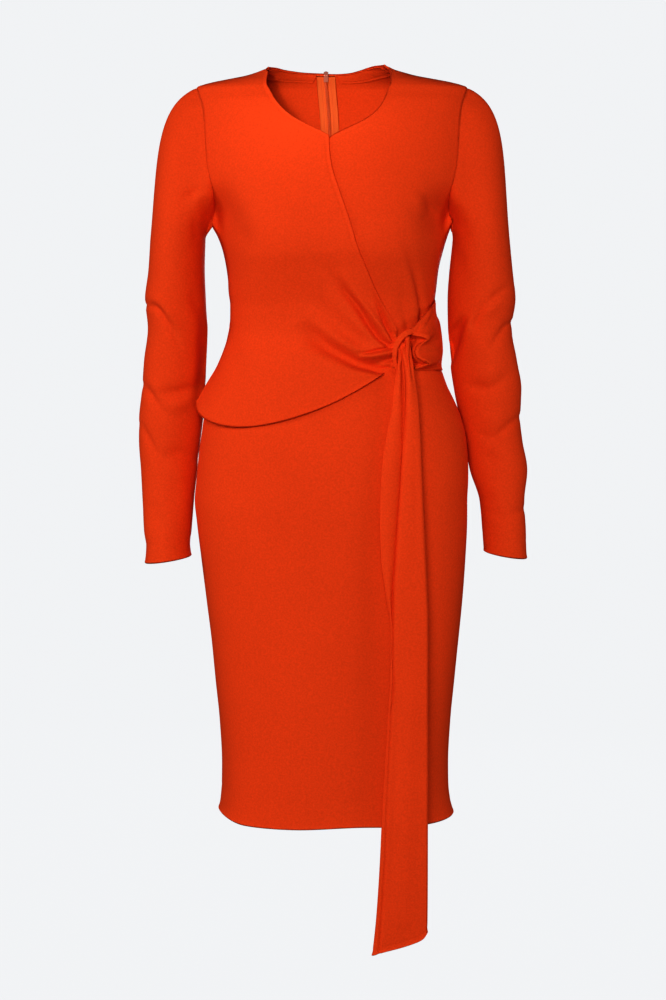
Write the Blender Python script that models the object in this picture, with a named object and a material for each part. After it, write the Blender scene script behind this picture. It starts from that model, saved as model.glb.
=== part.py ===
"""A long-sleeved bodycon dress with a wrapped front, side peplum and looped sash.

Millimetres in the tables, metres in the meshes. +X is the wearer's left, -Y the
front, +Z up; the origin is midway between the two ends of the shoulder seams.
Every cloth piece is a wall: a grid of points on the worn surface, and a second
grid inside it.
"""

import bpy
import numpy as np
from mathutils import Matrix

MM = 0.001
CLOTH = 1.5  # wall of the crepe, as a maker would press a hem
TAPE = 1.0  # wall of the zip tapes and the facing
SEAM = 0.16  # each piece is held back this far at a seam
UNDER_GAP = 0.85  # between a panel and what is sewn inside it
OVER = 2.4  # how far the wrap's outer face stands over the panel under it
TIP = 999.0  # in a table: right out at the side of the ring

WAIST = -359.0
HEM = -1000.0

# The worn surface, one row for each level ring.
TORSO_COLUMNS = ("z", "centre", "half", "front", "back", "square")
TORSO = np.array([
    (4, -4.0, 70.0, 14.0, 42.0, 0.00),
    (2, -4.0, 73.0, 20.0, 44.0, 0.00),
    (0, -4.0, 77.5, 25.0, 46.0, 0.00),
    (-4, -3.8, 85.8, 29.0, 48.0, 0.00),
    (-8, -2.4, 97.8, 33.0, 50.0, 0.00),
    (-12, -1.4, 112.2, 37.0, 52.5, 0.00),
    (-17, -0.4, 139.0, 43.0, 56.0, 0.00),
    (-20, 0.0, 155.0, 46.0, 58.0, 0.00),
    (-24, 0.0, 171.2, 50.0, 60.5, 0.00),
    (-27, 0.0, 178.5, 53.0, 62.0, 0.00),
    (-35, 0.0, 180.3, 60.0, 66.0, 0.00),
    (-45, 0.0, 181.5, 69.0, 71.0, 0.00),
    (-66, 0.0, 183.0, 80.0, 79.0, 0.00),
    (-94, 0.0, 184.0, 89.0, 87.0, 0.00),
    (-129, 0.0, 183.0, 100.0, 92.0, 0.00),
    (-150, 0.0, 180.0, 106.0, 93.0, 0.01),
    (-170, 0.0, 174.0, 110.0, 93.0, 0.02),
    (-190, 0.0, 166.0, 113.0, 92.0, 0.03),
    (-207, -0.5, 158.7, 115.0, 91.0, 0.04),
    (-223, 0.8, 151.5, 116.0, 89.5, 0.05),
    (-240, 1.3, 145.9, 114.5, 88.0, 0.06),
    (-266, 0.8, 140.1, 107.0, 84.0, 0.07),
    (-293, 0.8, 137.0, 99.0, 81.0, 0.08),
    (-313, 1.3, 134.6, 95.0, 80.0, 0.08),
    (-340, 1.0, 134.6, 92.5, 81.0, 0.08),
    (-359, 0.0, 136.8, 92.0, 83.0, 0.08),
    (-380, 0.0, 141.5, 94.0, 87.0, 0.08),
    (-400, 0.0, 147.0, 98.0, 92.0, 0.08),
    (-420, 0.0, 154.0, 102.0, 98.0, 0.08),
    (-440, 0.7, 163.0, 105.5, 104.0, 0.08),
    (-459, 0.7, 171.2, 108.0, 110.0, 0.08),
    (-484, 2.0, 176.9, 110.0, 117.0, 0.08),
    (-514, 1.7, 180.8, 111.0, 122.0, 0.09),
    (-548, 0.4, 183.0, 111.0, 124.0, 0.10),
    (-575, -1.3, 183.6, 110.0, 123.0, 0.10),
    (-602, 0.0, 182.4, 108.0, 120.0, 0.10),
    (-657, 2.0, 178.1, 104.5, 112.0, 0.10),
    (-712, 3.4, 173.0, 101.5, 105.0, 0.10),
    (-767, 4.1, 167.2, 99.0, 100.0, 0.10),
    (-822, 4.0, 162.1, 97.0, 97.0, 0.10),
    (-877, 4.1, 157.0, 95.5, 95.5, 0.10),
    (-933, 4.1, 154.4, 95.0, 94.5, 0.10),
    (-961, 4.1, 154.8, 95.0, 94.5, 0.10),
    (-985, 4.4, 157.0, 95.5, 95.0, 0.10),
    (-1006, 4.8, 162.0, 97.0, 96.0, 0.10),
])

# Bust: a soft mound on each side, made by the cut.
BUST = {"x": 84.0, "z": -222.0, "wide": 46.0, "tall": 52.0, "out": 14.0}

# The armhole seam: how far out it lies at each level, in front and behind.
ARMHOLE_COLUMNS = ("z", "front_x", "back_x")
ARMHOLE = np.array([
    (-27, 178.5, 178.5),
    (-38, 174.3, 175.5),
    (-48, 170.5, 173.0),
    (-62, 168.0, 171.0),
    (-80, 166.5, 169.3),
    (-102, 165.5, 168.5),
    (-129, 163.3, 167.0),
    (-152, 158.5, 164.0),
    (-168, 154.5, 161.0),
    (-180, 154.2, 159.5),
    (-193, 155.8, 158.8),
    (-207, TIP, TIP),
])

# Every piece that meets the armhole seam has a point at each of these levels.
ARM_LEVELS = (-27, -38, -49, -64, -82, -102, -124, -146, -165, -181, -195, -207)

# Back half: inner edge (from the centre line) and level, and the outer edge's level.
BACK_COLUMNS = ("inner", "inner_z", "outer_z")
BACK = np.array([
    (TIP, 3.0, -27),
    (66, 2.2, -38),
    (56, 0.4, -49),
    (45, -2.0, -64),
    (30, -4.2, -82),
    (14, -5.2, -102),
    (0, -5.4, -124),
    (0, -28, -146),
    (0, -58, -165),
    (0, -90, -181),
    (0, -124, -195),
    (0, -158, -207),
    (0, -190, -224),
    (0, -222, -243),
    (0, -254, -266),
    (0, -286, -293),
    (0, -318, -322),
    (0, -341, -342),
    (0, WAIST, WAIST),
])

# The centre back line wanders with the neck, which sits a little to one side.
CENTRE_COLUMNS = ("z", "x")
CENTRE = np.array([(4, -8.0), (-5, -8.0), (-60, -4.0), (-160, 0.0), (-1010, 0.0)])

# Under panel: neck edge, then the edge that runs under the wrap to the other side.
UNDER_COLUMNS = ("inner_x", "inner_z", "outer_z")
UNDER = np.array([
    (TIP, 3.0, -27),
    (77.0, -8.0, -38),
    (76.9, -22.4, -49),
    (72.7, -33.7, -64),
    (67.1, -47.6, -82),
    (57.0, -62.0, -102),
    (40.3, -74.1, -124),
    (20.4, -83.9, -146),
    (2.0, -93.0, -165),
    (-12.0, -104, -181),
    (-26.0, -122, -195),
    (-44.0, -154, -207),
    (-64.0, -190, -226),
    (-85.0, -226, -246),
    (-104.0, -261, -268),
    (-120.0, -295, -293),
    (-TIP, -330, -322),
    (-TIP, -345, -341),
    (-TIP, WAIST, WAIST),
])

# Wrap and peplum. Rows run from the neck or wrap edge (inner) to the shoulder,
# armhole, side seam or free side edge (outer), which swings forward by an angle.
# out_in and out_out stand it off the worn surface, sag bows the row down, fold is
# its gather at the loop.
WRAP_COLUMNS = (
    "inner_x", "inner_z", "forward", "outer_z", "out_in", "out_out", "sag", "fold",
)
WRAP = np.array([
    (-TIP, 3.0, 0, -27, 0.0, 0.0, 0, 0.0),
    (-84.0, -8.0, 0, -38, 0.0, 0.0, 0, 0.0),
    (-85.6, -22.4, 0, -49, 0.0, 0.0, 0, 0.0),
    (-80.0, -35.2, 0, -64, 0.3, 0.0, 0, 0.0),
    (-73.0, -47.6, 0, -82, 0.8, 0.0, 0, 0.0),
    (-57.0, -65.0, 0, -102, 1.6, 0.0, 0, 0.0),
    (-33.4, -79.8, 0, -124, OVER, 0.0, 0, 0.0),
    (-15.0, -88.5, 0, -146, OVER, 0.0, 0, 0.0),
    (-4.0, -94.5, 0, -165, OVER, 0.0, 0, 0.0),
    (-3.4, -112, 0, -181, OVER, 0.0, 0, 0.0),
    (-0.5, -133, 0, -195, OVER, 0.0, 0, 0.0),
    (6.0, -156, 0, -207, OVER, 0.0, 0, 0.0),
    (16.0, -184, 0, -222, OVER, 0.0, 0, 0.0),
    (24.4, -209, 0, -238, OVER, 0.0, 0, 0.0),
    (33.0, -237, 0, -255, OVER, 0.0, 0, 0.6),
    (40.5, -254, 0, -270, OVER + 0.4, 0.0, 0, -0.4),
    (52.0, -282, 0, -287, OVER + 1.0, 0.0, 0, 2.0),
    (66.0, -312, 0, -306, OVER + 2.0, 0.3, 0, -0.3),
    (77.0, -334, 0, -325, OVER + 3.0, OVER, 2, 3.0),
    (81.0, -344, 0, -341, OVER + 4.0, 2.6, 5, 0.5),
    (81.5, -352, 0, -355, OVER + 5.0, 3.0, 9, 3.0),
    (81.5, -361, 0.02, -373, OVER + 5.5, 4.6, 15, 2.5),
    (81.0, -371, 0.06, -396, OVER + 4.0, 7.7, 23, -2.5),
    (80.5, -381, 0.12, -421, OVER + 3.0, 13.5, 30, 0.5),
    (80.0, -391, 0.17, -449, OVER + 2.5, 18.0, 37, 0.5),
])
WRAP_CORNER = 8  # the row of the V point

SKIRT_LEVELS = (
    WAIST, -371, -384, -397, -411, -426, -442, -461, -484, -505, -530, -560, -600,
    -660, -740, -840, -940, -980, HEM,
)

# Hem line of the skirt: where it lies above or below the plain hem level.
HEM_COLUMNS = ("x", "up")
HEM_LINE = np.array([(-170, 6.0), (-150, 1.0), (-115, -5.0), (-55, -5.5), (40, -1.5), (110, -3.5), (170, -3.5)])

# Sleeves: outer and inner line of each, the middle and half depth front to back.
SLEEVE_COLUMNS = (
    "z", "right_out", "right_in", "left_out", "left_in", "middle_y", "half_depth",
)
SLEEVE = np.array([
    (-226, 242.3, 168.7, 237.0, 160.7, 8, 52),
    (-266, 245.4, 170.3, 241.4, 156.9, 10, 50),
    (-306, 250.5, 169.2, 246.0, 155.1, 13, 48),
    (-343, 247.5, 166.8, 241.6, 156.0, 16, 46),
    (-387, 253.3, 168.4, 249.2, 159.0, 20, 44),
    (-427, 256.8, 170.5, 256.0, 165.0, 23, 43),
    (-468, 261.4, 174.8, 255.0, 173.5, 25, 42),
    (-495, 261.8, 178.3, 258.0, 179.2, 25, 41),
    (-536, 259.0, 182.6, 264.8, 187.0, 20, 38),
    (-577, 256.5, 187.3, 260.5, 200.0, 12, 35),
    (-618, 254.2, 190.3, 262.3, 203.5, 4, 33),
    (-636, 251.2, 192.0, 262.6, 204.6, 0, 31),
    (-657, 253.2, 189.8, 264.4, 205.8, -3, 32),
])
CUFF_TILT = {"right": 5.0, "left": 5.5}  # the outer end of a cuff hangs this much lower
HEAD_SLOPE = {"right": 0.10, "left": 0.10}  # how far the sleeve head leans in
CUFF_LEVEL = {"right": -654.0, "left": -648.0}

# Sash: left edge, the crease left of its front pleat, right edge, and how far
# in front it hangs, one row for each level.
SASH_COLUMNS = ("z", "left", "crease", "right", "front_y", "deep", "tuck")
SASH = np.array([
    (-352, 84.5, 94.5, 103.5, -84.0, 7.0, 2.5),
    (-362, 82.4, 93.5, 104.0, -87.5, 7.0, 3.0),
    (-371, 86.4, 93.0, 104.3, -94.0, 8.0, 4.0),
    (-380, 87.0, 92.5, 104.6, -101.0, 9.0, 4.5),
    (-388, 86.0, 92.3, 105.2, -105.0, 9.5, 5.0),
    (-397, 83.0, 92.2, 106.2, -108.0, 9.5, 5.0),
    (-414, 80.5, 93.0, 109.0, -112.0, 9.5, 5.0),
    (-440, 77.8, 92.8, 112.0, -115.0, 9.5, 5.0),
    (-480, 70.2, 91.0, 114.5, -118.5, 10.0, 5.0),
    (-530, 64.0, 88.3, 116.5, -120.5, 10.0, 5.0),
    (-590, 62.2, 84.5, 119.5, -120.5, 10.0, 5.0),
    (-640, 64.0, 81.5, 122.0, -119.5, 10.0, 4.5),
    (-690, 70.5, 79.2, 124.5, -117.5, 10.0, 4.0),
    (-732, 76.5, 79.5, 125.8, -116.0, 10.0, 2.0),
    (-790, 76.5, 80.5, 126.0, -114.5, 10.0, 0.8),
    (-850, 73.5, 78.5, 126.2, -113.5, 10.0, 0.5),
    (-920, 69.5, 75.0, 126.6, -112.5, 10.0, 0.5),
    (-990, 65.8, 72.5, 126.8, -112.0, 10.0, 0.5),
    (-1050, 63.2, 70.5, 127.0, -111.5, 10.0, 0.5),
    (-1100, 59.4, 67.0, 127.1, -111.0, 10.0, 0.5),
    (-1150, 53.4, 63.0, 126.9, -111.0, 10.0, 0.5),
])
# The cut end slants: how far it hangs below the last level, from left to right.
SASH_END = np.array([(0.0, -23.0), (0.17, -18.0), (0.5, -11.0), (0.75, -5.0), (0.92, 1.0), (1.0, 9.0)])

# The tab: its seam on the side, its top edge, and its gathered end at the loop.
TAB_COLUMNS = ("side_z", "end_x", "end_y", "end_z", "bulge")
TAB = np.array([
    (-309, 107.2, -82.0, -350.5, 0.0),
    (-318, 111.5, -85.0, -352.0, 0.5),
    (-328, 122.0, -84.0, -356.5, 2.5),
    (-338, 124.5, -79.0, -361.5, 5.0),
    (-348, 115.5, -80.5, -365.5, 6.5),
    (-358, 109.5, -84.0, -371.0, 6.0),
    (-367, 110.5, -85.0, -378.5, 4.5),
    (-376, 120.5, -83.0, -384.0, 3.0),
    (-385, 126.0, -77.0, -388.5, 1.5),
    (-393, 119.0, -74.5, -393.5, 0.5),
    (-401, 108.2, -75.5, -396.0, 0.0),
])

# The loop: the middle line of its band.
LOOP_COLUMNS = ("x", "y", "z", "wide", "thick")
LOOP = np.array([
    (105.2, -81.9, -350.3, 6.0, 2.4),
    (101.0, -86.5, -347.5, 7.4, 2.8),
    (95.0, -90.5, -348.5, 7.6, 2.8),
    (88.5, -93.0, -354.0, 7.6, 2.8),
    (84.0, -93.8, -363.0, 7.6, 2.8),
    (81.6, -93.0, -374.0, 7.2, 2.8),
    (82.2, -92.0, -384.5, 6.8, 2.8),
    (85.8, -90.0, -394.0, 6.6, 2.8),
    (92.0, -86.0, -401.0, 6.6, 2.8),
    (99.5, -82.5, -402.5, 6.4, 2.8),
    (106.4, -77.0, -398.8, 5.0, 2.4),
])

SHARP = np.radians(40)  # a crisper edge than this stays crisp
ZIP_END = -505.0
ZIP = {"tape": 12.5, "coil": 2.6, "coil_deep": 2.0}
FACING_DEEP = 12.5

COLOURS = {
    "crepe": ((0.730, 0.052, 0.012), 0.85),
    "tape": ((0.820, 0.085, 0.025), 0.80),
    "coil": ((0.790, 0.075, 0.025), 0.45),
    "metal": ((0.780, 0.300, 0.190), 0.35),
}


def smooth(x, xs, ys):
    """The monotone cubic through (xs, ys), at x."""
    xs, ys = np.asarray(xs, float), np.asarray(ys, float)
    if xs[0] > xs[-1]:
        xs, ys = xs[::-1], ys[::-1]
    x = np.clip(x, xs[0], xs[-1])
    h = np.diff(xs)
    d = np.diff(ys) / h
    m = np.zeros(len(xs))
    if len(xs) > 2:
        same = d[:-1] * d[1:] > 0
        a, b = 2 * h[1:] + h[:-1], h[1:] + 2 * h[:-1]
        both = np.where(same, 1, np.nan)
        m[1:-1] = np.nan_to_num(
            (a + b) / (a / np.where(same, d[:-1], 1) + b / np.where(same, d[1:], 1)) * both
        )
    m[0], m[-1] = d[0], d[-1]
    i = np.clip(np.searchsorted(xs, x, side="right") - 1, 0, len(h) - 1)
    t = (x - xs[i]) / h[i]
    return (
        ys[i] * (1 + 2 * t) * (1 - t) ** 2
        + m[i] * h[i] * t * (1 - t) ** 2
        + ys[i + 1] * t * t * (3 - 2 * t)
        + m[i + 1] * h[i] * t * t * (t - 1)
    )


def ease(x, low, high):
    t = np.clip((np.asarray(x, float) - low) / (high - low), 0, 1)
    return t * t * (3 - 2 * t)


def column(table, names, name):
    return table[:, names.index(name)]


def ring(z):
    return [smooth(z, TORSO[:, 0], TORSO[:, i]) for i in range(1, 6)]


def worn(angle, z):
    """The worn surface: angle 0 at the wearer's left, -pi/2 in front, pi/2 behind."""
    centre, half, front, back, square = ring(z)
    c, s = np.cos(angle), np.sin(angle)
    x = centre + half * c * (1 + square * s * s)
    y = np.where(s < 0, front, back) * s * (1 + square * c * c)
    across = sum(
        np.exp(-0.5 * ((x - side * BUST["x"]) / BUST["wide"]) ** 2) for side in (-1, 1)
    )
    up = np.exp(-0.5 * ((z - BUST["z"]) / BUST["tall"]) ** 2)
    y = y - BUST["out"] * across * up * ease(-s, 0.1, 0.8)
    return np.stack(np.broadcast_arrays(x, y, z), axis=-1)


def facing_out(angle, z):
    """The unit normal of the worn surface."""
    da, dz = 0.004, 0.6
    across = worn(angle + da, z) - worn(angle - da, z)
    down = worn(angle, z - dz) - worn(angle, z + dz)
    n = np.cross(down, across)
    return n / np.linalg.norm(n, axis=-1, keepdims=True)


def angle_of(x, z, side):
    """The angle at which the ring of level z reaches x; side -1 in front, 1 behind."""
    centre, half, _, _, square = ring(z)
    reach = np.clip((x - centre) / half, -1, 1)
    c = reach / (1 + square * (1 - reach**2))
    for _ in range(6):
        c = reach / (1 + square * (1 - c**2))
    return side * np.arccos(np.clip(c, -1, 1))


def armhole_x(z, side):
    known = ARMHOLE[:-1]
    x = smooth(z, known[:, 0], known[:, 1 if side < 0 else 2])
    last = known[-1, 0]
    tip = ring(z)[1]
    t = ease(z, last, ARMHOLE[-1, 0])
    return np.where(z < last, x * (1 - t) + tip * t, x)


def outer_angle(z, hand, side):
    """Angle of the armhole seam, or of the side seam below it, at level z."""
    tip = 0.0 if hand > 0 else side * np.pi
    at_armhole = angle_of(hand * armhole_x(z, side), z, side)
    return np.where((z > ARMHOLE[-1, 0] + 0.01) & (z < ARMHOLE[0, 0] - 0.01), at_armhole, tip)


def grid_normals(points, closed=False):
    if closed:
        across = np.roll(points, -1, axis=1) - np.roll(points, 1, axis=1)
    else:
        across = np.gradient(points, axis=1)
    n = np.cross(np.gradient(points, axis=0), across)
    return n / np.maximum(np.linalg.norm(n, axis=-1, keepdims=True), 1e-9)


def held_back(points, ends, by=SEAM):
    """Moves the border rows and columns inwards, so that a seam has its gap."""
    p = points.copy()

    def shift(edge, inside):
        d = inside - edge
        return edge + d / np.maximum(np.linalg.norm(d, axis=-1, keepdims=True), 1e-9) * by

    top, bottom, first, last = ends
    if top:
        p[0] = shift(points[0], points[1])
    if bottom:
        p[-1] = shift(points[-1], points[-2])
    if first:
        p[:, 0] += shift(points[:, 0], points[:, 1]) - points[:, 0]
    if last:
        p[:, -1] += shift(points[:, -1], points[:, -2]) - points[:, -1]
    return p


def wall(name, outer, inner, finish, closed=False):
    """One closed solid between an outer and an inner grid of points."""
    rows, cols = outer.shape[:2]
    count = rows * cols
    index = np.arange(count).reshape(rows, cols)
    if closed:
        index = np.hstack([index, index[:, :1]])
    a, b = index[:-1, :-1], index[:-1, 1:]
    c, d = index[1:, 1:], index[1:, :-1]
    skin = np.stack([a, b, c, d], -1).reshape(-1, 4)
    faces = [skin, skin[:, ::-1] + count]
    borders = [index[0, ::-1], index[-1]]
    if not closed:
        borders += [index[:, 0], index[::-1, -1]]
    for edge in borders:
        faces.append(
            np.stack([edge[:-1], edge[1:], edge[1:] + count, edge[:-1] + count], -1)
        )
    solid(name, np.concatenate([outer.reshape(-1, 3), inner.reshape(-1, 3)]), np.concatenate(faces), finish)


def loft(name, sections, finish):
    """One closed solid through rings of equal count, with flat ends."""
    rings, around = sections.shape[:2]
    index = np.arange(rings * around).reshape(rings, around)
    index = np.hstack([index, index[:, :1]])
    sides = np.stack(
        [index[:-1, :-1], index[:-1, 1:], index[1:, 1:], index[1:, :-1]], -1
    ).reshape(-1, 4)
    ends = [list(index[0, -2::-1]), list(index[-1, :-1])]
    solid(name, sections.reshape(-1, 3), [list(f) for f in sides] + ends, finish)


def solid(name, points, faces, finish):
    faces = [[int(i) for i in f] for f in faces]
    mesh = bpy.data.meshes.new(name)
    mesh.from_pydata([tuple(p) for p in points * MM], [], faces)
    mesh.validate()
    corners = np.array([[f[0], f[i], f[i + 1]] for f in faces for i in range(1, len(f) - 1)])
    if np.linalg.det(points[corners]).sum() < 0:
        mesh.flip_normals()
    colour, rough = COLOURS[finish]
    material = bpy.data.materials.new(name + "_" + finish)
    material.use_nodes = True
    shader = material.node_tree.nodes["Principled BSDF"]
    shader.inputs["Base Color"].default_value = (*colour, 1)
    shader.inputs["Roughness"].default_value = rough
    shader.inputs["Metallic"].default_value = 0.9 if finish == "metal" else 0.0
    mesh.materials.append(material)
    mesh.shade_smooth()
    mesh.set_sharp_from_angle(angle=SHARP)
    obj = bpy.data.objects.new(name, mesh)
    bpy.context.scene.collection.objects.link(obj)
    return obj


def on_worn(angle, z, out):
    return worn(angle, z) + facing_out(angle, z) * np.asarray(out)[..., None]


def panel(name, angle, z, out, ends, finish="crepe", thick=CLOTH):
    """A wall whose outer face stands `out` off the worn surface."""
    out = np.broadcast_to(out, angle.shape)
    points = worn(angle, z)
    normal = facing_out(angle, z)
    base = held_back(points, ends)
    wall(name, base + normal * out[..., None], base + normal * (out - thick)[..., None], finish)


def fill(inner_angle, inner_z, outer_angle_, outer_z, columns):
    u = np.linspace(0, 1, columns)
    angle = inner_angle[:, None] * (1 - u) + outer_angle_[:, None] * u
    z = inner_z[:, None] * (1 - u) + outer_z[:, None] * u
    return angle, z, u


def centre_line(z):
    return smooth(z, CENTRE[:, 0], CENTRE[:, 1])


def bodice_back(hand, columns=10):
    inner, inner_z, outer_z = BACK.T
    neck_centre = centre_line(inner_z)
    x = np.where(inner == TIP, hand * TIP, neck_centre + hand * inner)
    angle, z, _ = fill(angle_of(x, inner_z, 1), inner_z, outer_angle(outer_z, hand, 1), outer_z, columns)
    name = "bodice_back_left" if hand > 0 else "bodice_back_right"
    panel(name, angle, z, 0.0, (1, 1, 1, 1))


def bodice_front_left(columns=15):
    x, inner_z, outer_z = UNDER.T
    angle, z, _ = fill(angle_of(x, inner_z, -1), inner_z, outer_angle(outer_z, 1, -1), outer_z, columns)
    panel("bodice_front_left", angle, z, 0.0, (1, 1, 1, 1))


def under_edge(z):
    """How far towards the wearer's right the under panel reaches at level z."""
    rows = UNDER[8:17].copy()
    rows[-1, 0] = -134.0
    return np.where(z > rows[0, 1], 40.0, smooth(z, rows[:, 1], rows[:, 0]))


def bow(u):
    """The sag of a bowed row: nothing at its ends, most past its middle."""
    return np.sin(np.pi * np.clip(u, 0, 1) ** 1.12)


def wrap_surface(row, u):
    """Points, normals and stand-off of the wrap, at row numbers and u from the edge."""
    at = np.arange(len(WRAP), dtype=float)

    def value(name):
        v = column(WRAP, WRAP_COLUMNS, name)
        low = smooth(row, at[: WRAP_CORNER + 1], v[: WRAP_CORNER + 1])
        high = smooth(row, at[WRAP_CORNER:], v[WRAP_CORNER:])
        return np.where(row <= WRAP_CORNER, low, high)

    inner_x, inner_z, outer_z = value("inner_x"), value("inner_z"), value("outer_z")
    tip = ring(inner_z)[0] - ring(inner_z)[1]
    second = column(WRAP, WRAP_COLUMNS, "inner_x")[1]
    inner_x = np.where(row < 1, tip * (1 - row) + second * row, inner_x)
    first = angle_of(inner_x, inner_z, -1)
    last = outer_angle(outer_z, -1, -1) + value("forward")
    angle = first[:, None] * (1 - u) + last[:, None] * u
    z = inner_z[:, None] * (1 - u) + outer_z[:, None] * u
    z = z - value("sag")[:, None] * bow(u)
    near = np.exp(-((u / 0.30) ** 1.5))
    out = value("out_in")[:, None] * (1 - ease(u, 0.0, 0.55)) + value("out_out")[:, None] * ease(u, 0.45, 1.0)
    where = worn(angle, z)
    over = ease(where[..., 0] - under_edge(z), -34, -8) * (z < -60)
    over = np.where(z < -325, 1.0, over) * OVER
    loose = 4.2 * ease(-z, 352, 400) * np.sin(np.pi * np.clip(u, 0, 1)) ** 0.7
    out = np.maximum(out, over) + value("fold")[:, None] * near + loose
    return angle, z, np.maximum(out, over)


def wrap_front(columns=22):
    row = np.arange(len(WRAP), dtype=float)
    u = np.linspace(0, 1, columns) ** 1.25
    angle, z, out = wrap_surface(row, u)
    panel("wrap_front_right", angle, z, out, (1, 0, 0, 1))


def hem_z(x):
    return HEM + smooth(x, HEM_LINE[:, 0], HEM_LINE[:, 1])


def skirt(name, first, last, columns):
    u = np.linspace(0, 1, columns)
    v = (np.array(SKIRT_LEVELS) - WAIST) / (HEM - WAIST)
    angle = np.broadcast_to(first + (last - first) * u, (len(v), columns)).copy()
    up = hem_z(worn(angle[-1], np.full(columns, HEM))[:, 0]) - HEM
    z = WAIST + (HEM - WAIST) * v[:, None] + up * ease(v, 0.8, 1.0)[:, None]
    if name != "skirt_front":
        line = angle_of(centre_line(z[:, 0]), z[:, 0], 1)
        near = 1 - u if last in (0.0, np.pi) else u
        angle = angle + (line - np.pi / 2)[:, None] * near
    panel(name, angle, z, 0.0, (1, 0, 1, 1))


def armhole_point(hand):
    """The armhole seam once round: shoulder, front, armpit, back."""
    z = np.array(ARM_LEVELS, float)
    z = np.concatenate([z, z[-2:0:-1]])
    side = np.where(np.arange(len(z)) < len(ARM_LEVELS), -1.0, 1.0)
    angle = np.where(side < 0, outer_angle(z, hand, -1.0), outer_angle(z, hand, 1.0))
    return worn(angle, z), facing_out(angle, z)


def sleeve(hand, cap_rows=7):
    name = "left" if hand > 0 else "right"
    seam, seam_normal = armhole_point(hand)
    around = len(seam)
    turn = np.arange(around) * 2 * np.pi / around

    def arm(z):
        out = smooth(z, SLEEVE[:, 0], column(SLEEVE, SLEEVE_COLUMNS, name + "_out"))
        inn = smooth(z, SLEEVE[:, 0], column(SLEEVE, SLEEVE_COLUMNS, name + "_in"))
        y = smooth(z, SLEEVE[:, 0], column(SLEEVE, SLEEVE_COLUMNS, "middle_y"))
        deep = smooth(z, SLEEVE[:, 0], column(SLEEVE, SLEEVE_COLUMNS, "half_depth"))
        tilt = CUFF_TILT[name] * ease(z, SLEEVE[-3, 0], SLEEVE[-1, 0])
        c, s = np.cos(turn), np.sin(turn)
        x = hand * ((out + inn) / 2 + (out - inn) / 2 * c)
        return np.stack([x, y - deep * s, z - tilt * c], -1)

    top = SLEEVE[0, 0]
    bicep = arm(top)
    w = (1 + np.cos(turn)) / 2
    reach = np.linalg.norm(bicep - seam, axis=1)
    leave = np.stack([hand * (0.2 + 0.8 * w), np.zeros(around), -(1 - w) - 0.4 * w - 0.04 * (1 - w)], -1)
    leave /= np.linalg.norm(leave, axis=1, keepdims=True)
    first = seam + leave * (reach * (0.22 + 0.07 * w))[:, None]
    second = bicep - np.stack([hand * HEAD_SLOPE[name] * w, 0 * w, -np.ones(around)], -1) * (reach * (0.30 + 0.20 * w))[:, None]
    start = seam + leave * 0.32
    rows = []
    for t in np.linspace(0, 1, cap_rows):
        rows.append(
            start * (1 - t) ** 3 + 3 * first * t * (1 - t) ** 2 + 3 * second * t * t * (1 - t) + bicep * t**3
        )
    for z in (*SLEEVE[1:-1, 0], CUFF_LEVEL[name]):
        rows.append(arm(z))
    points = np.array(rows)
    normal = grid_normals(points, closed=True)
    middle = points.mean(axis=1, keepdims=True)
    if (normal * (points - middle)).sum(axis=-1).mean() < 0:
        normal = -normal
    normal[0] = seam_normal
    normal[1] = normal[1] * 0.6 + seam_normal * 0.4
    normal[1] /= np.linalg.norm(normal[1], axis=-1, keepdims=True)
    wall("sleeve_" + name, points, points - normal * CLOTH, "crepe", closed=True)


def sash_section(row):
    """One section of the sash, from its hidden left end, over two pleats, round behind."""
    _, left, crease, right, y, deep, tuck = row
    r = 3.2
    gap = min(tuck, 6.0)
    mid = (left + crease) / 2
    return np.array([
        (left + 2.0, y + deep - 3.0),
        (left, y + deep * 0.55),
        (left + 1.2, y + 3.0),
        (mid, y + 1.0),
        (crease - 1.2, y + 1.5 + gap * 0.5),
        (crease, y + 1.0 + gap),
        (crease + 1.8, y + gap * 0.55),
        (crease + 6.0, y - 0.8),
        ((crease + right) / 2, y - 1.6),
        (right - 5.0, y - 0.4),
        (right - 0.9, y + r * 0.7),
        (right, y + deep * 0.5),
        (right - 1.2, y + deep - 2.0),
        (right - 6.0, y + deep + 0.4),
        ((left + right) / 2 + 4.0, y + deep + 1.0),
        (left + 8.0, y + deep + 2.6),
    ])


def sash_tail(rows=25):
    z = SASH[:, 0]
    levels = np.concatenate([np.linspace(-352, -440, 7), np.linspace(-440, -1150, rows - 6)[1:]])
    sections = []
    for level in levels:
        row = [smooth(level, z, SASH[:, i]) for i in range(SASH.shape[1])]
        flat = sash_section(row)
        end = ease(level, -1040, -1150)
        across = (flat[:, 0] - row[1]) / max(row[3] - row[1], 1)
        down = level + end * smooth(across, SASH_END[:, 0], SASH_END[:, 1])
        sections.append(np.column_stack([flat, down]))
    points = np.array(sections)
    normal = grid_normals(points)
    if normal[5, 8, 1] > 0:
        normal = -normal
    wall("sash_tail", points, points - normal * CLOTH, "crepe")


def waist_tab(columns=13):
    side_z, end_x, end_y, end_z, bulge = TAB.T
    u = np.linspace(0, 1, columns)
    at = angle_of(end_x, end_z, -1)
    angle = 0.0 * (1 - u) + at[:, None] * u
    z = side_z[:, None] * (1 - u) + end_z[:, None] * u
    base = on_worn(angle, z, OVER + bulge[:, None] * ease(u, 0, 0.2) * (1 - ease(u, 0.4, 0.9)))
    end = np.stack([end_x, end_y, end_z], -1)
    pull = ease(u, 0.25, 1.0)[None, :, None]
    points = base * (1 - pull) + (base + (end - base[:, -1])[:, None, :]) * pull
    normal = grid_normals(points)
    if normal[4, 2, 1] > 0:
        normal = -normal
    points = held_back(points, (0, 0, 1, 0), 0.3)
    wall("waist_tab", points, points - normal * CLOTH, "crepe")


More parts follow.
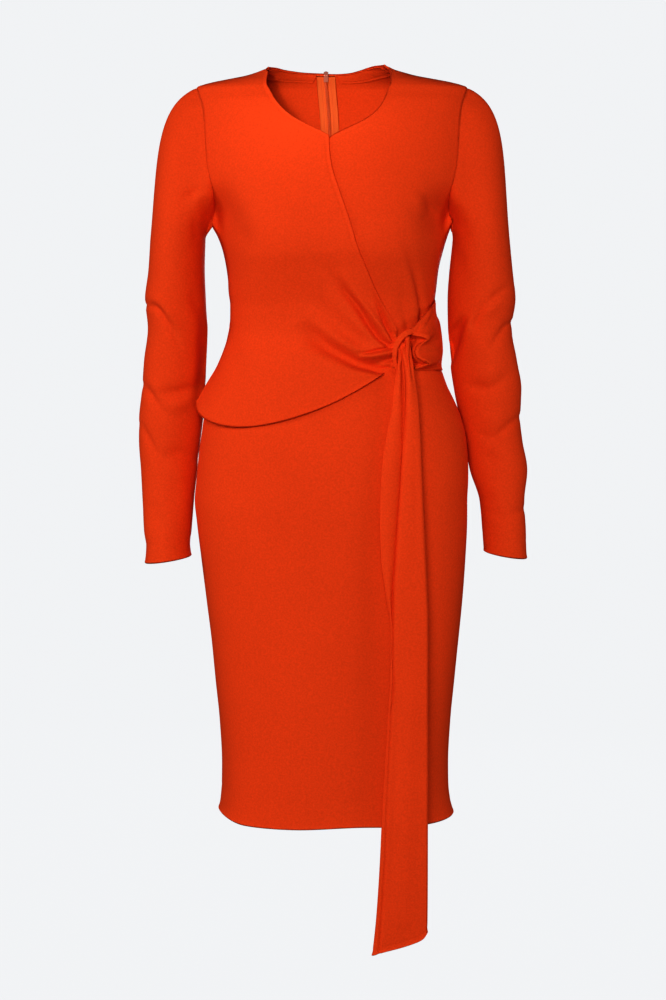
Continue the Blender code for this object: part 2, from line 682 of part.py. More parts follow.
def band(name, path, wide, thick, facing, finish, around=8):
    """A flat band with round edges along a path; facing is its front's direction."""
    along = np.gradient(path, axis=0)
    along /= np.linalg.norm(along, axis=1, keepdims=True)
    across = np.cross(along, facing)
    across /= np.linalg.norm(across, axis=1, keepdims=True)
    front = np.cross(across, along)
    turn = (np.arange(around) + 0.5) * 2 * np.pi / around
    c, s = np.cos(turn), np.sin(turn)
    c = np.sign(c) * np.abs(c) ** 0.7
    sections = (
        path[:, None]
        + across[:, None] * (wide[:, None] / 2 * c)[..., None]
        + front[:, None] * (thick[:, None] / 2 * s)[..., None]
    )
    loft(name, sections, finish)


def loop_band(steps=22):
    at = np.arange(len(LOOP), dtype=float)
    t = np.linspace(0, len(LOOP) - 1, steps)
    x, y, z, wide, thick = (smooth(t, at, LOOP[:, i]) for i in range(5))
    path = np.stack([x, y, z], -1)
    facing = np.tile((-0.15, -1.0, 0.05), (steps, 1))
    band("loop_band", path, wide, thick, facing, "crepe")


def neck_facing(hand, columns=12):
    rows = BACK[1:7]
    x = centre_line(rows[:, 1]) + hand * rows[:, 0]
    edge = angle_of(x, rows[:, 1], 1)
    t = np.linspace(0, 1, columns)
    at = np.linspace(0, 1, len(rows))
    angle, z = np.interp(t, at, edge), np.interp(t, at, rows[:, 1])
    stop = angle_of(centre_line(-5.0) + hand * (ZIP["tape"] + 0.6), -5.0, 1)
    angle = edge[0] + (stop - edge[0]) * ((angle - edge[0]) / (edge[-1] - edge[0]))
    down = np.linspace(0, 1, 4)[:, None]
    name = "neck_facing_left" if hand > 0 else "neck_facing_right"
    levels = z - 0.4 - down * FACING_DEEP * (0.7 + 0.3 * ease(t, 0.0, 0.35))
    angles = np.broadcast_to(angle, levels.shape)
    panel(name, angles, levels, -CLOTH - UNDER_GAP, (0, 0, 1, 0), thick=TAPE)


def zip_parts():
    back = BACK[7:, 1]
    z = np.array([-6.5, -14.0, *back, *(v for v in SKIRT_LEVELS[1:] if v >= ZIP_END)])
    middle = centre_line(z)
    for hand, side in ((1, "left"), (-1, "right")):
        across = np.array([0.15, ZIP["tape"] / 2, ZIP["tape"]])
        x = middle[:, None] + hand * across
        level = np.broadcast_to(z[:, None], x.shape)
        panel("zip_tape_" + side, angle_of(x, level, 1), level, -CLOTH - UNDER_GAP, (0, 0, 0, 0), "tape", TAPE)
    inside = CLOTH + UNDER_GAP + TAPE + 0.3
    angle = angle_of(middle, z, 1)
    normal = facing_out(angle, z)
    path = worn(angle, z) - normal * (inside + ZIP["coil_deep"] / 2)
    count = len(z)
    band("zip_coil", path, np.full(count, 2 * ZIP["coil"]), np.full(count, ZIP["coil_deep"]), normal, "coil", 6)


def prism(name, outline, half_wide, place, finish):
    """An outline in (down, outwards) carried across."""
    count = len(outline)
    points = np.array([place(x, *p) for x in (-half_wide, half_wide) for p in outline])
    sides = [(i, (i + 1) % count, (i + 1) % count + count, i + count) for i in range(count)]
    faces = sides + [tuple(range(count))[::-1], tuple(range(count, 2 * count))]
    return solid(name, points, faces, finish)


def joined(first, second):
    bpy.context.view_layer.objects.active = first
    join = first.modifiers.new("join", "BOOLEAN")
    join.operation, join.solver, join.object = "UNION", "EXACT", second
    bpy.ops.object.modifier_apply(modifier=join.name)
    bpy.data.objects.remove(second, do_unlink=True)


def ring_plate(name, outer, window, low, high, place, finish):
    """A flat plate with a window: outlines of equal count in (across, down)."""
    count = len(outer)
    rings = ((outer, low), (outer, high), (window, high), (window, low))
    points = np.array([place(x, s, n) for outline, n in rings for x, s in outline])
    index = np.arange(4 * count).reshape(4, count)
    index = np.vstack([index, index[:1]])
    index = np.hstack([index, index[:, :1]])
    faces = np.stack([index[:-1, :-1], index[:-1, 1:], index[1:, 1:], index[1:, :-1]], -1)
    return solid(name, points, faces.reshape(-1, 4), finish)


def zip_slider_and_pull():
    """The slider sits over the top of the back seam; its pull hangs outside."""
    z0 = -5.4
    x0 = float(centre_line(np.array(z0)))
    angle = angle_of(np.array([x0]), np.array([z0]), 1)
    top = worn(angle, np.array([z0]))[0]
    lower = worn(angle_of(np.array([x0]), np.array([z0 - 22.0]), 1), np.array([z0 - 22.0]))[0]
    down = lower - top
    down[0] = 0
    down /= np.linalg.norm(down)
    out = np.array([0.0, -down[2], down[1]])

    def place(x, s, n):
        return np.array([x0 + x, top[1], top[2]]) + down * s + out * n

    inside = -(CLOTH + UNDER_GAP + TAPE + 0.3 + ZIP["coil_deep"] + 0.4)
    saddle = prism("zip_slider", [
        (-2.6, inside - 1.4), (8.0, inside - 1.4), (8.0, inside), (-0.9, inside),
        (-0.9, 0.8), (8.0, 0.8), (8.0, 2.2), (-2.6, 2.2),
    ], 3.0, place, "metal")
    arch = prism("zip_arch", [
        (-1.6, 1.4), (-1.6, 5.8), (7.4, 5.8), (7.4, 1.4),
        (5.8, 1.4), (5.8, 4.7), (0.0, 4.7), (0.0, 1.4),
    ], 1.1, place, "metal")
    joined(saddle, arch)
    pull = ring_plate(
        "zip_pull",
        [(-2.4, 3.8), (2.4, 3.8), (3.1, 4.6), (3.1, 9.0), (3.3, 16.0), (3.6, 25.0), (2.2, 27.6), (-2.2, 27.6), (-3.6, 25.0), (-3.3, 16.0), (-3.1, 9.0), (-3.1, 4.6)],
        [(-1.2, 5.1), (1.2, 5.1), (1.7, 5.5), (1.7, 7.0), (1.7, 8.4), (1.6, 9.5), (0.7, 9.9), (-0.7, 9.9), (-1.6, 9.5), (-1.7, 8.4), (-1.7, 7.0), (-1.7, 5.5)],
        2.75, 3.95, place, "metal",
    )
    pivot = place(0.0, 4.45, 3.35) * MM
    pull.data.transform(Matrix.Translation([-v for v in pivot]))
    pull.location = pivot


def main():
    for obj in list(bpy.data.objects):
        bpy.data.objects.remove(obj, do_unlink=True)
    for hand in (1, -1):
        bodice_back(hand)
        sleeve(hand)
        neck_facing(hand)
    bodice_front_left()
    wrap_front()
    skirt("skirt_front", -np.pi, 0.0, 23)
    skirt("skirt_back_left", np.pi / 2, 0.0, 12)
    skirt("skirt_back_right", np.pi / 2, np.pi, 12)
    waist_tab()
    loop_band()
    sash_tail()
    zip_parts()
    zip_slider_and_pull()


main()
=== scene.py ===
"""Looks of a long-sleeved bodycon dress with a wrapped front, peplum and looped sash.

Tables and shapes are in millimetres, meshes in metres. +X is the wearer's left,
-Y the front, +Z up, and the origin is midway between the two high neck points.
Every cloth piece is a thin shell: a dense grid on the worn surface with its folds,
seams and turned edges worked in, and a second grid inside it.
"""

import bmesh
import bpy
import numpy as np
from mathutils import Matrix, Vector


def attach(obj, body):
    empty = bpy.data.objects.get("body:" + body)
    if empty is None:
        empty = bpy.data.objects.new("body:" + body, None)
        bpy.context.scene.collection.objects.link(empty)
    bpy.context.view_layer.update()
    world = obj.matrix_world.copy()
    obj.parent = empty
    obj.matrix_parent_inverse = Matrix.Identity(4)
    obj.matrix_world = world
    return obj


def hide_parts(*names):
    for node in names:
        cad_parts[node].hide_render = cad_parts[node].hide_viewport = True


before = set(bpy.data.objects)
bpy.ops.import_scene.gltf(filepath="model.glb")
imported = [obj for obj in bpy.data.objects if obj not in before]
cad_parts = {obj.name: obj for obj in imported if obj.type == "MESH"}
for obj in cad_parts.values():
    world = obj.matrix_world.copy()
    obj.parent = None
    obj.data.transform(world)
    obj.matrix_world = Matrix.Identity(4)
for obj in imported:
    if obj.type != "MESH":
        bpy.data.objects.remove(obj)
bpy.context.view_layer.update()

MM = 0.001
CLOTH = 1.2  # wall of the crepe
TAPE = 0.8  # wall of the zip tapes and the facing
UNDER_GAP = 0.85  # between a panel and what is sewn inside it
OVER = 2.4  # how far the wrap's outer face stands over the panel under it
TIP = 999.0  # in a table: right out at the side of the ring
WAIST = -359.0
HEM = -1000.0
SKIRT_TURN = 32.0  # depth of the turned-up hem
CUFF_TURN = 24.0
DENSE = 1.0
SLIT = 0.3  # between a wall and what is sewn against it
BEHIND_WRAP = 0.6  # more room yet, behind the wrap
ZIP_DEPTH = CLOTH + UNDER_GAP + SLIT  # of the tapes below the back's outer face
SIDES = {1: "left", -1: "right"}  # the wearer's

# Rows and columns of the grids.
GRIDS = {
    "back": (155, 88), "under": (168, 110), "wrap": (252, 147), "sleeve_head": (45, 143),
    "tab": (134, 95), "loop": (180, 28), "sash": (258, 81), "facing": (22, 90),
}
SKIRT_ROWS = 155
SKIRT_COLUMNS = {"front": 128, "back": 67}
HEM_ROWS = 14  # of the skirt's, crowded into the last 3 % of its length
ARM_ROWS = 131
CUFF_ROWS = 12
ZIP_ROWS = 170
TAPE_COLUMNS = 20
TAB_STEPS = 35
HEXAGON = np.arange(6) * np.pi / 3  # the turns of a six-sided ring's points

# Rows of the tables below where the shape turns a corner.
BACK_CORNER = 6  # the neck's end at the zip
UNDER_CORNER = 8  # the neck's end under the wrap
UNDER_SIDE = 16  # where it reaches the other side seam
ARMHOLE_END = 10.5  # beside the armhole's lower end

# The picture: its middle and its scale where the camera aims, and the camera.
PICTURE_MIDDLE = (333.0, 500.0)
MM_PER_PIXEL = 1.35
EYE = np.array([1.35, -2900.0, -250.0])
AIM = np.array([1.35, 0.0, -575.0])
LENS = 77.85

# The worn surface, one row for each level ring: level, middle across, half width, how
# far it reaches in front and behind, and how square its corners are.
TORSO = np.array([
    (4, -4, 70, 14, 42, 0),
    (2, -4, 73, 20, 44, 0),
    (0, -4, 77.5, 25, 46, 0),
    (-4, -3.8, 85.8, 29, 48, 0),
    (-8, -2.4, 97.8, 33, 50, 0),
    (-12, -1.4, 112.2, 37, 52.5, 0),
    (-17, -0.4, 139, 43, 56, 0),
    (-20, 0, 155, 46, 58, 0),
    (-24, 0, 171.2, 50, 60.5, 0),
    (-27, 0, 178.5, 53, 62, 0),
    (-35, 0, 180.3, 60, 66, 0),
    (-45, 0, 181.5, 69, 71, 0),
    (-66, 0, 183, 80, 79, 0),
    (-94, 0, 184, 89, 87, 0),
    (-129, 0, 183, 100, 92, 0),
    (-150, 0, 180, 106, 93, 0.01),
    (-170, 0, 174, 110, 93, 0.02),
    (-190, 0, 166, 113, 92, 0.03),
    (-207, -0.5, 158.7, 115, 91, 0.04),
    (-223, 0.8, 151.5, 116, 89.5, 0.05),
    (-240, 1.3, 145.9, 114.5, 88, 0.06),
    (-266, 0.8, 140.1, 107, 84, 0.07),
    (-293, 0.8, 137, 99, 81, 0.08),
    (-313, 1.3, 134.6, 95, 80, 0.08),
    (-340, 1, 134.6, 92.5, 81, 0.08),
    (-359, 0, 136.8, 92, 83, 0.08),
    (-380, 0, 141.5, 94, 87, 0.08),
    (-400, 0, 147, 98, 92, 0.08),
    (-420, 0, 154, 102, 98, 0.08),
    (-440, 0.7, 163, 105.5, 104, 0.08),
    (-459, 0.7, 171.2, 108, 110, 0.08),
    (-484, 2, 176.9, 110, 117, 0.08),
    (-514, 1.7, 180.8, 111, 122, 0.09),
    (-548, 0.4, 183, 111, 124, 0.10),
    (-575, -1.3, 183.6, 110, 123, 0.10),
    (-602, 0, 182.4, 108, 120, 0.10),
    (-657, 2, 178.1, 104.5, 112, 0.10),
    (-712, 3.4, 173, 101.5, 105, 0.10),
    (-767, 4.1, 167.2, 99, 100, 0.10),
    (-822, 4, 162.1, 97, 97, 0.10),
    (-877, 4.1, 157, 95.5, 95.5, 0.10),
    (-933, 4.1, 154.4, 95, 94.5, 0.10),
    (-961, 4.1, 154.8, 95, 94.5, 0.10),
    (-985, 4.4, 157, 95.5, 95, 0.10),
    (-1006, 4.8, 162, 97, 96, 0.10),
])

# Bust: a soft mound on each side, made by the cut.
BUST = {"x": 84.0, "z": -222.0, "wide": 46.0, "tall": 52.0, "out": 14.0}

# The hollow that the cloth falls into in front of each armpit.
ARMPIT = {"x": 152.0, "z": -194.0, "wide": 27.0, "tall": 29.0, "deep": 36.0}

# The armhole seam: level, and how far out it lies in front and behind.
ARMHOLE = np.array([
    (-27, 178.5, 178.5),
    (-38, 174.3, 175.5),
    (-48, 170.5, 173),
    (-62, 168, 171),
    (-80, 166.5, 169.3),
    (-102, 165.5, 168.5),
    (-129, 163.3, 167),
    (-152, 158.5, 164),
    (-168, 154.5, 161),
    (-180, 154.2, 159.5),
    (-193, 155.8, 158.8),
    (-207, TIP, TIP),
])
ARM_LEVELS = (-27, -38, -49, -64, -82, -102, -124, -146, -165, -181, -195, -207)

# Back half: inner edge (from the centre line) and level, and the outer edge's level.
BACK = np.array([
    (TIP, 3, -27),
    (66, 2.2, -38),
    (56, 0.4, -49),
    (45, -2, -64),
    (30, -4.2, -82),
    (14, -5.2, -102),
    (0, -5.4, -124),
    (0, -28, -146),
    (0, -58, -165),
    (0, -90, -181),
    (0, -124, -195),
    (0, -158, -207),
    (0, -190, -224),
    (0, -222, -243),
    (0, -254, -266),
    (0, -286, -293),
    (0, -318, -322),
    (0, -341, -342),
    (0, WAIST, WAIST),
])

# The neck is not quite even: each half's first rows lie this far above the table.
NECK_SHIFT = {
    "right": (-3.9, -2.5, -2.1, -0.9, 0.0, 0.4),
    "left": (-0.9, 0.3, 0.5, 0.1, -0.7, -0.5),
}

# The centre back line wanders with the neck, which sits a little to one side.
CENTRE = np.array([(4, -8), (-5, -8), (-60, -4), (-160, 0), (-1010, 0)])

# Under panel: neck edge, then the edge that runs under the wrap to the other side,
# as place across and level, and the outer edge's level.
UNDER = np.array([
    (TIP, 2.1, -27),
    (77, -8, -38),
    (76.9, -22.4, -49),
    (72.7, -33.7, -64),
    (67.1, -47.6, -82),
    (57, -62, -102),
    (40.3, -74.1, -124),
    (20.4, -83.9, -146),
    (2, -93, -165),
    (-12, -104, -181),
    (-26, -122, -195),
    (-44, -154, -207),
    (-64, -190, -226),
    (-85, -226, -246),
    (-104, -261, -268),
    (-120, -295, -293),
    (-133.6, -330, -322),
    (-TIP, -345, -341),
    (-TIP, WAIST, WAIST),
])

# Wrap and peplum. Rows run from the neck or wrap edge (inner) to the shoulder,
# armhole, side seam or free side edge (outer). Columns: inner edge across and its
# level, the angle by which the outer edge swings forward and its level, how far the
# inner and the outer end stand off the worn surface, how far the row bows down, and
# the height of its gather at the loop.
WRAP = np.array([
    (-TIP, -0.9, 0, -27, 0, 0, 0, 0),
    (-84, -8, 0, -38, 0, 0, 0, 0),
    (-85.6, -22.4, 0, -49, 0, 0, 0, 0),
    (-80, -35.2, 0, -64, 0.3, 0, 0, 0),
    (-73, -47.6, 0, -82, 0.8, 0, 0, 0),
    (-57, -65, 0, -102, 1.6, 0, 0, 0),
    (-33.4, -79.8, 0, -124, OVER, 0, 0, 0),
    (-15, -88.5, 0, -146, OVER, 0, 0, 0),
    (-4, -94.5, 0, -165, OVER, 0, 0, 0),
    (-3.4, -112, 0, -181, OVER, 0, 0, 0),
    (-0.5, -133, 0, -195, OVER, 0, 0, 0),
    (6, -156, 0, -207, OVER, 0, 0, 0),
    (16, -184, 0, -222, OVER, 0, 0, 0),
    (24.4, -209, 0, -238, OVER, 0, 0, 0),
    (33, -237, 0, -255, OVER, 0, 0, 0.6),
    (40.5, -254, 0, -270, OVER + 0.4, 0, 0, -0.4),
    (52, -282, 0, -287, OVER + 1, 0, 0, 0.8),
    (66, -312, 0, -306, OVER + 2, 0.3, 0, 0.6),
    (77, -334, 0, -325, OVER + 3, OVER, 2, 0.6),
    (81, -344, 0, -341, OVER + 2.6, 2.6, 5, 0.5),
    (81.5, -352, 0, -355, OVER + 2.4, 3, 9, 0.5),
    (81.5, -361, 0.02, -373, OVER + 2.4, 4.6, 16, 0.5),
    (81, -371, 0.06, -396, OVER + 2.2, 7.7, 26, 0),
    (80.5, -381, 0.12, -421, OVER + 2.2, 13.5, 35, 0.3),
    (80, -391, 0.17, -449, OVER + 2.5, 18, 44, 0.5),
])
WRAP_CORNER = 8  # the row of the V point
WRAP_FREE = 18  # the row below which its outer edge hangs free

# Hem line of the skirt: where it lies above or below the plain hem level.
HEM_LINE = np.array([
    (-170, 6), (-150, 1), (-115, -5), (-55, -5.5), (40, -1.5), (110, -3.5), (170, -3.5),
])
# Lower edge of the peplum: place across and level.
PEPLUM_LINE = np.array([
    (-176, -449), (-160, -461), (-140, -469), (-115, -473), (-86, -474), (-60, -470),
    (-30, -461), (10, -440), (44, -420), (72, -403), (82, -394),
])

# Sleeves: level, outer and inner line of the right one and of the left one, the
# middle front to back and the half depth.
SLEEVE = np.array([
    (-226, 242.3, 168.7, 237, 160.7, 8, 52),
    (-266, 245.4, 170.3, 241.4, 156.9, 10, 50),
    (-306, 250.5, 169.2, 246, 155.1, 13, 48),
    (-343, 247.5, 166.8, 241.6, 156, 16, 46),
    (-387, 253.3, 168.4, 249.2, 159, 20, 44),
    (-427, 256.8, 170.5, 256, 165, 23, 43),
    (-468, 261.4, 174.8, 255, 173.5, 25, 42),
    (-495, 261.8, 178.3, 258, 179.2, 25, 41),
    (-536, 259, 182.6, 264.8, 187, 20, 38),
    (-577, 256.5, 187.3, 260.5, 200, 12, 35),
    (-618, 254.2, 190.3, 262.3, 203.5, 4, 33),
    (-636, 251.2, 192, 262.6, 204.6, 0, 31),
    (-657, 253.2, 189.8, 264.4, 205.8, -3, 32),
])
CUFF_TILT = {"right": 5.0, "left": 5.5}  # the outer end of a cuff hangs this much lower
CUFF_LEVEL = {"right": -654.0, "left": -648.0}
CUFF_START = -636.0  # from here down the rows lie closer
HEAD_SLOPE = 0.10  # how far the sleeve head leans in

# Sash: level, left edge, the crease left of its front pleat, right edge, how far in
# front it hangs, its depth, and how far the crease tucks in.
SASH = np.array([
    (-352, 84.5, 93.8, 101.2, -84, 7, 3),
    (-362, 82.4, 92.8, 101.8, -87.5, 7, 3.5),
    (-371, 86.4, 92.6, 102.6, -94, 8, 4.5),
    (-380, 87, 92.3, 103.8, -101, 9, 5),
    (-388, 86, 92.3, 105.2, -105, 9.5, 5),
    (-397, 83, 92.2, 106.2, -108, 9.5, 5),
    (-414, 80.5, 93, 109, -112, 9.5, 5),
    (-440, 77.8, 92.8, 112, -115, 9.5, 5),
    (-480, 70.2, 91, 114.5, -118.5, 10, 5),
    (-530, 64, 88.3, 116.5, -120.5, 10, 5),
    (-590, 62.2, 84.5, 119.5, -120.5, 10, 5),
    (-640, 64, 81.5, 122, -119.5, 10, 4.5),
    (-690, 70.5, 79.2, 124.5, -117.5, 10, 4),
    (-732, 76.5, 79.5, 125.8, -116, 10, 2),
    (-790, 76.5, 80.5, 126, -114.5, 10, 0.8),
    (-850, 73.5, 78.5, 126.2, -113.5, 10, 0.5),
    (-920, 69.5, 75, 126.6, -112.5, 10, 0.5),
    (-990, 65.8, 72.5, 126.8, -112, 10, 0.5),
    (-1050, 63.2, 70.5, 127, -111.5, 10, 0.5),
    (-1100, 59.4, 67, 127.1, -111, 10, 0.5),
    (-1150, 53.4, 63, 126.9, -111, 10, 0.5),
])
SASH_END = np.array([(0, -23), (0.17, -18), (0.5, -11), (0.75, -5), (0.92, 1), (1, 9)])

# The tab: level of its seam on the side, place of its gathered end at the loop, how
# far it bulges, and how strongly a row bends down towards its end.
TAB = np.array([
    (-306, 104.6, -81.9, -341.6, 0, 2.1),
    (-316, 105.4, -82.6, -348.8, 0.3, 2),
    (-324, 115, -84.5, -350.6, 1.2, 1.9),
    (-331, 122, -84, -352.8, 2.8, 1.8),
    (-339, 125.2, -81, -356, 4.5, 1.7),
    (-347, 118.4, -80, -361.2, 5.6, 1.6),
    (-355, 112, -82, -366.2, 6, 1.5),
    (-362, 109.8, -84, -371.6, 5.8, 1.4),
    (-369, 111.6, -84.8, -377, 5, 1.3),
    (-376, 118, -84, -381.2, 3.8, 1.2),
    (-384, 126.5, -79.5, -387.4, 2.2, 1.1),
    (-392, 117, -76.5, -391.4, 0.9, 1),
    (-400, 107.8, -75.5, -393.8, 0, 1),
])
# Behind the end's rim the cloth steps back and runs on to the slot beside the sash:
# share of the way there, and how far back.
TAB_BACK = np.array([
    (0, 0), (0.03, 0.9), (0.06, 3.2), (0.20, 5), (0.42, 6), (0.56, 8.5), (0.66, 13), (1, 18),
])
TAB_SLOT = 102.0

# The loop: the middle line of its band, its width and its thickness.
LOOP = np.array([
    (106.6, -81, -344.6, 6.6, 2.6),
    (100.4, -86.5, -345.8, 7.6, 2.8),
    (93, -90.5, -349.8, 7.8, 2.8),
    (86.6, -93, -356.6, 7.6, 2.8),
    (82.4, -93.8, -365.4, 7, 2.8),
    (81, -93, -376, 6.4, 2.8),
    (82, -92, -386, 5.4, 2.8),
    (85.8, -90, -394.6, 5.2, 2.8),
    (92, -86, -401, 5.6, 2.8),
    (99.5, -82.5, -402.5, 5.6, 2.8),
    (106.4, -77, -398.8, 4.6, 2.4),
])

ZIP_END = -505.0
ZIP_TAPE = 12.5  # width of a tape
ZIP_STITCHES = 6.6  # from the centre line
COIL_PITCH = 1.3
COIL_WIDE = 2.1  # half widths of the wire's turns, and the wire's own
COIL_HIGH = 0.62
COIL_WIRE = 0.36
COIL_DEPTH = CLOTH + UNDER_GAP + TAPE + 1.7  # of its middle below the back's outer face
FACING_DEEP = 9.8

# Folds, listed one by one. Each is a line in the picture's pixels, its width in pixels
# and its height in millimetres along the line (ridges above 0, troughs below).
WRAP_FOLDS = [
    # valley and ridge that run down beside the wrap's edge
    (
        [(304, 244), (322, 264), (339, 283), (346, 293), (359, 309), (370, 326), (380, 339), (389, 345)],
        (9, 6, 4, 3.2, 2.6), (0, -1.4, -5.4, -8, -8.6, -6),
    ),
    (
        [(338, 268), (351, 287), (361, 300), (371, 313), (380, 326), (390, 341)],
        (7, 4, 3, 2.6), (0, 2.2, 4.6, 5.6, 4),
    ),
    (
        [(368, 286), (375, 299), (380, 311), (383, 318), (387, 328), (393, 341)],
        (3, 2, 1.7), (0, -2, -5, -6, -4.4),
    ),
    ([(374, 290), (382, 304), (388, 316), (395, 330)], (2.8, 2.6, 2.6), (0, 1.8, 3.4, 3)),
    # second, softer valley to the left of the first
    ([(292, 282), (318, 305), (341, 324), (360, 340), (374, 347)], (12, 8, 5), (0, -1.8, -2.8, -2.4, 0)),
    ([(314, 280), (335, 302), (353, 320), (369, 335), (382, 346)], (8, 6, 4), (0, 1.6, 2.8, 2.4)),
    # the deep trough from the left, and the pinched ridge over it
    (
        [(300, 322), (311, 334), (323, 345), (340, 354), (357, 362), (374, 367), (384, 369), (395, 369)],
        (10, 7, 5, 3.8), (0, -8.5, -14, -15, -13, -8.5),
    ),
    ([(304, 312), (324, 328), (344, 342.5), (362, 352)], (9, 6, 4), (0, 3.6, 4.6, 0.8)),
    ([(358, 357), (370, 356.4), (380, 354.8), (392, 352)], (2.4, 2.8, 3.2), (0.6, 5, 6.6, 5)),
    ([(356, 353), (366, 353), (376, 350.8), (392, 347.6)], (1.8, 1.5, 1.6), (0, -4, -5, -4)),
    ([(370, 363), (382, 361.4), (393, 359)], (2.8, 3), (0, -4.6, -6.4)),
    # the peplum below it
    ([(326, 367), (350, 372), (370, 375.5), (384, 374)], (8, 5, 3), (0, 2.4, 2.6, 0.6)),
    # down the side
    ([(228, 214), (242, 234), (258, 252)], (8, 11, 12), (0, -3, 0)),
    ([(226, 198), (244, 206), (262, 222)], (8, 10), (0, 1.8, 0)),
    ([(230, 330), (236, 365), (240, 400)], (9, 12), (0, -1.6, 0)),
]
UNDER_FOLDS = [
    ([(402, 226), (411, 258), (419, 289), (423, 312), (421, 326)], (6, 3.4, 2.2), (0, -1.8, -4.4, -4.6)),
    ([(394, 240), (407, 276), (414, 304), (416, 322)], (7, 5, 3.6), (0, 1.6, 2.4, 1)),
    ([(398, 290), (403, 308), (408, 328)], (4, 3), (0, -1.2, -2)),
    ([(424, 194), (432, 206), (438, 220)], (4, 5), (0, -3.4, 0)),
    ([(412, 190), (420, 204), (426, 220)], (5, 6), (0, 2, 0)),
    ([(414, 198), (428, 216), (440, 236)], (8, 9), (0, -2.4, 0)),
]
TAB_FOLDS = [
    (
        [(432, 303), (428.5, 312), (425, 320), (421, 327.5), (417, 331)],
        (1.5, 1.7, 2.2, 1.6), (-0.8, -2.2, -3.6, -0.4),
    ),
    ([(440, 327), (432, 331), (424, 332)], (2.4, 2.6), (0, 1, 0.8)),
    ([(441, 346), (434, 348), (426, 347), (420, 350)], (2.6, 3), (0, -0.9, -1.2, 0)),
    ([(440, 338), (433, 341)], (2.4, 2.6), (0, 0.8, 0)),
]


def smooth(x, xs, ys):
    """The monotone cubic through (xs, ys), at x."""
    xs, ys = np.asarray(xs, float), np.asarray(ys, float)
    if xs[0] > xs[-1]:
        xs, ys = xs[::-1], ys[::-1]
    x = np.clip(x, xs[0], xs[-1])
    h = np.diff(xs)
    d = np.diff(ys) / h
    m = np.zeros(len(xs))
    if len(xs) > 2:
        same = d[:-1] * d[1:] > 0
        a, b = 2 * h[1:] + h[:-1], h[1:] + 2 * h[:-1]
        m[1:-1] = np.where(
            same, (a + b) / (a / np.where(same, d[:-1], 1) + b / np.where(same, d[1:], 1)), 0
        )
    m[0], m[-1] = d[0], d[-1]
    i = np.clip(np.searchsorted(xs, x, side="right") - 1, 0, len(h) - 1)
    t = (x - xs[i]) / h[i]
    return (
        ys[i] * (1 + 2 * t) * (1 - t) ** 2
        + m[i] * h[i] * t * (1 - t) ** 2
        + ys[i + 1] * t * t * (3 - 2 * t)
        + m[i + 1] * h[i] * t * t * (t - 1)
    )


def ease(x, low, high):
    """0 below low, 1 above high, and a soft step 3t^2 - 2t^3 between."""
    t = np.clip((np.asarray(x, float) - low) / (high - low), 0, 1)
    return t * t * (3 - 2 * t)


def bell(d, wide):
    """exp(-(d / wide)^2): 1 at d = 0, and next to nothing from 2 wide on."""
    return np.exp(-((d / wide) ** 2))


def unit(v):
    """The same vectors, each of length 1."""
    return v / np.maximum(np.linalg.norm(v, axis=-1, keepdims=True), 1e-9)


def run_along(line):
    """The length run along a line, at each of its points."""
    return np.concatenate([[0], np.cumsum(np.linalg.norm(np.diff(line, axis=0), axis=1))])


def at_run(where, run, values):
    """Vectors at lengths along a line, from those at its points."""
    return np.stack([np.interp(where, run, values[:, k]) for k in range(3)], -1)


def with_front(normals, row, col):
    """The normals, all turned over if the one at this place points backwards."""
    return normals * (-1 if normals[row, col, 1] > 0 else 1)


def turned_like(normals, other):
    """The normals, all turned over if they mostly point away from the others."""
    return normals * np.sign((normals * other).sum(-1).mean())


def ring(z):
    """The ring of the worn surface at level z: the table's other five columns."""
    return [smooth(z, TORSO[:, 0], TORSO[:, i]) for i in range(1, 6)]


def worn(angle, z):
    """The worn surface: a level ring of two half ellipses, squared a little at its
    corners, plus a bell-shaped mound for each side of the bust. Angle 0 is the
    wearer's left, -pi/2 the front, pi/2 the back."""
    centre, half, front, back, square = ring(z)
    c, s = np.cos(angle), np.sin(angle)
    x = centre + half * c * (1 + square * s * s)
    y = np.where(s < 0, front, back) * s * (1 + square * c * c)
    across = sum(np.exp(-0.5 * ((x - side * BUST["x"]) / BUST["wide"]) ** 2) for side in (-1, 1))
    up = np.exp(-0.5 * ((z - BUST["z"]) / BUST["tall"]) ** 2)
    y = y - BUST["out"] * across * up * ease(-s, 0.1, 0.8)
    return np.stack(np.broadcast_arrays(x, y, z), axis=-1)


def facing_out(angle, z):
    """The unit normal of the worn surface, from its slopes round and down."""
    da, dz = 0.004, 0.6
    across = worn(angle + da, z) - worn(angle - da, z)
    down = worn(angle, z - dz) - worn(angle, z + dz)
    return unit(np.cross(down, across))


def stand_off(angle, z, out):
    """Points at a distance out from the worn surface."""
    return worn(angle, z) + facing_out(angle, z) * out[..., None]


def angle_of(x, z, side):
    """The angle at which the ring of level z reaches x; side -1 in front, 1 behind."""
    centre, half, _, _, square = ring(z)
    reach = np.clip((x - centre) / half, -1, 1)
    c = reach / (1 + square * (1 - reach**2))
    for _ in range(6):
        c = reach / (1 + square * (1 - c**2))
    return side * np.arccos(np.clip(c, -1, 1))


def armhole_x(z, side):
    """How far out the armhole seam lies; its last stretch runs out to the side."""
    known = ARMHOLE[:-1]
    x = smooth(z, known[:, 0], known[:, 1 if side < 0 else 2])
    last = known[-1, 0]
    t = ease(z, last, ARMHOLE[-1, 0])
    return np.where(z < last, x * (1 - t) + ring(z)[1] * t, x)


def outer_angle(z, hand, side):
    """Angle of the armhole seam, or of the side seam below it, at level z."""
    tip = 0.0 if hand > 0 else side * np.pi
    at_armhole = angle_of(hand * armhole_x(z, side), z, side)
    return np.where((z > ARMHOLE[-1, 0] + 0.01) & (z < ARMHOLE[0, 0] - 0.01), at_armhole, tip)


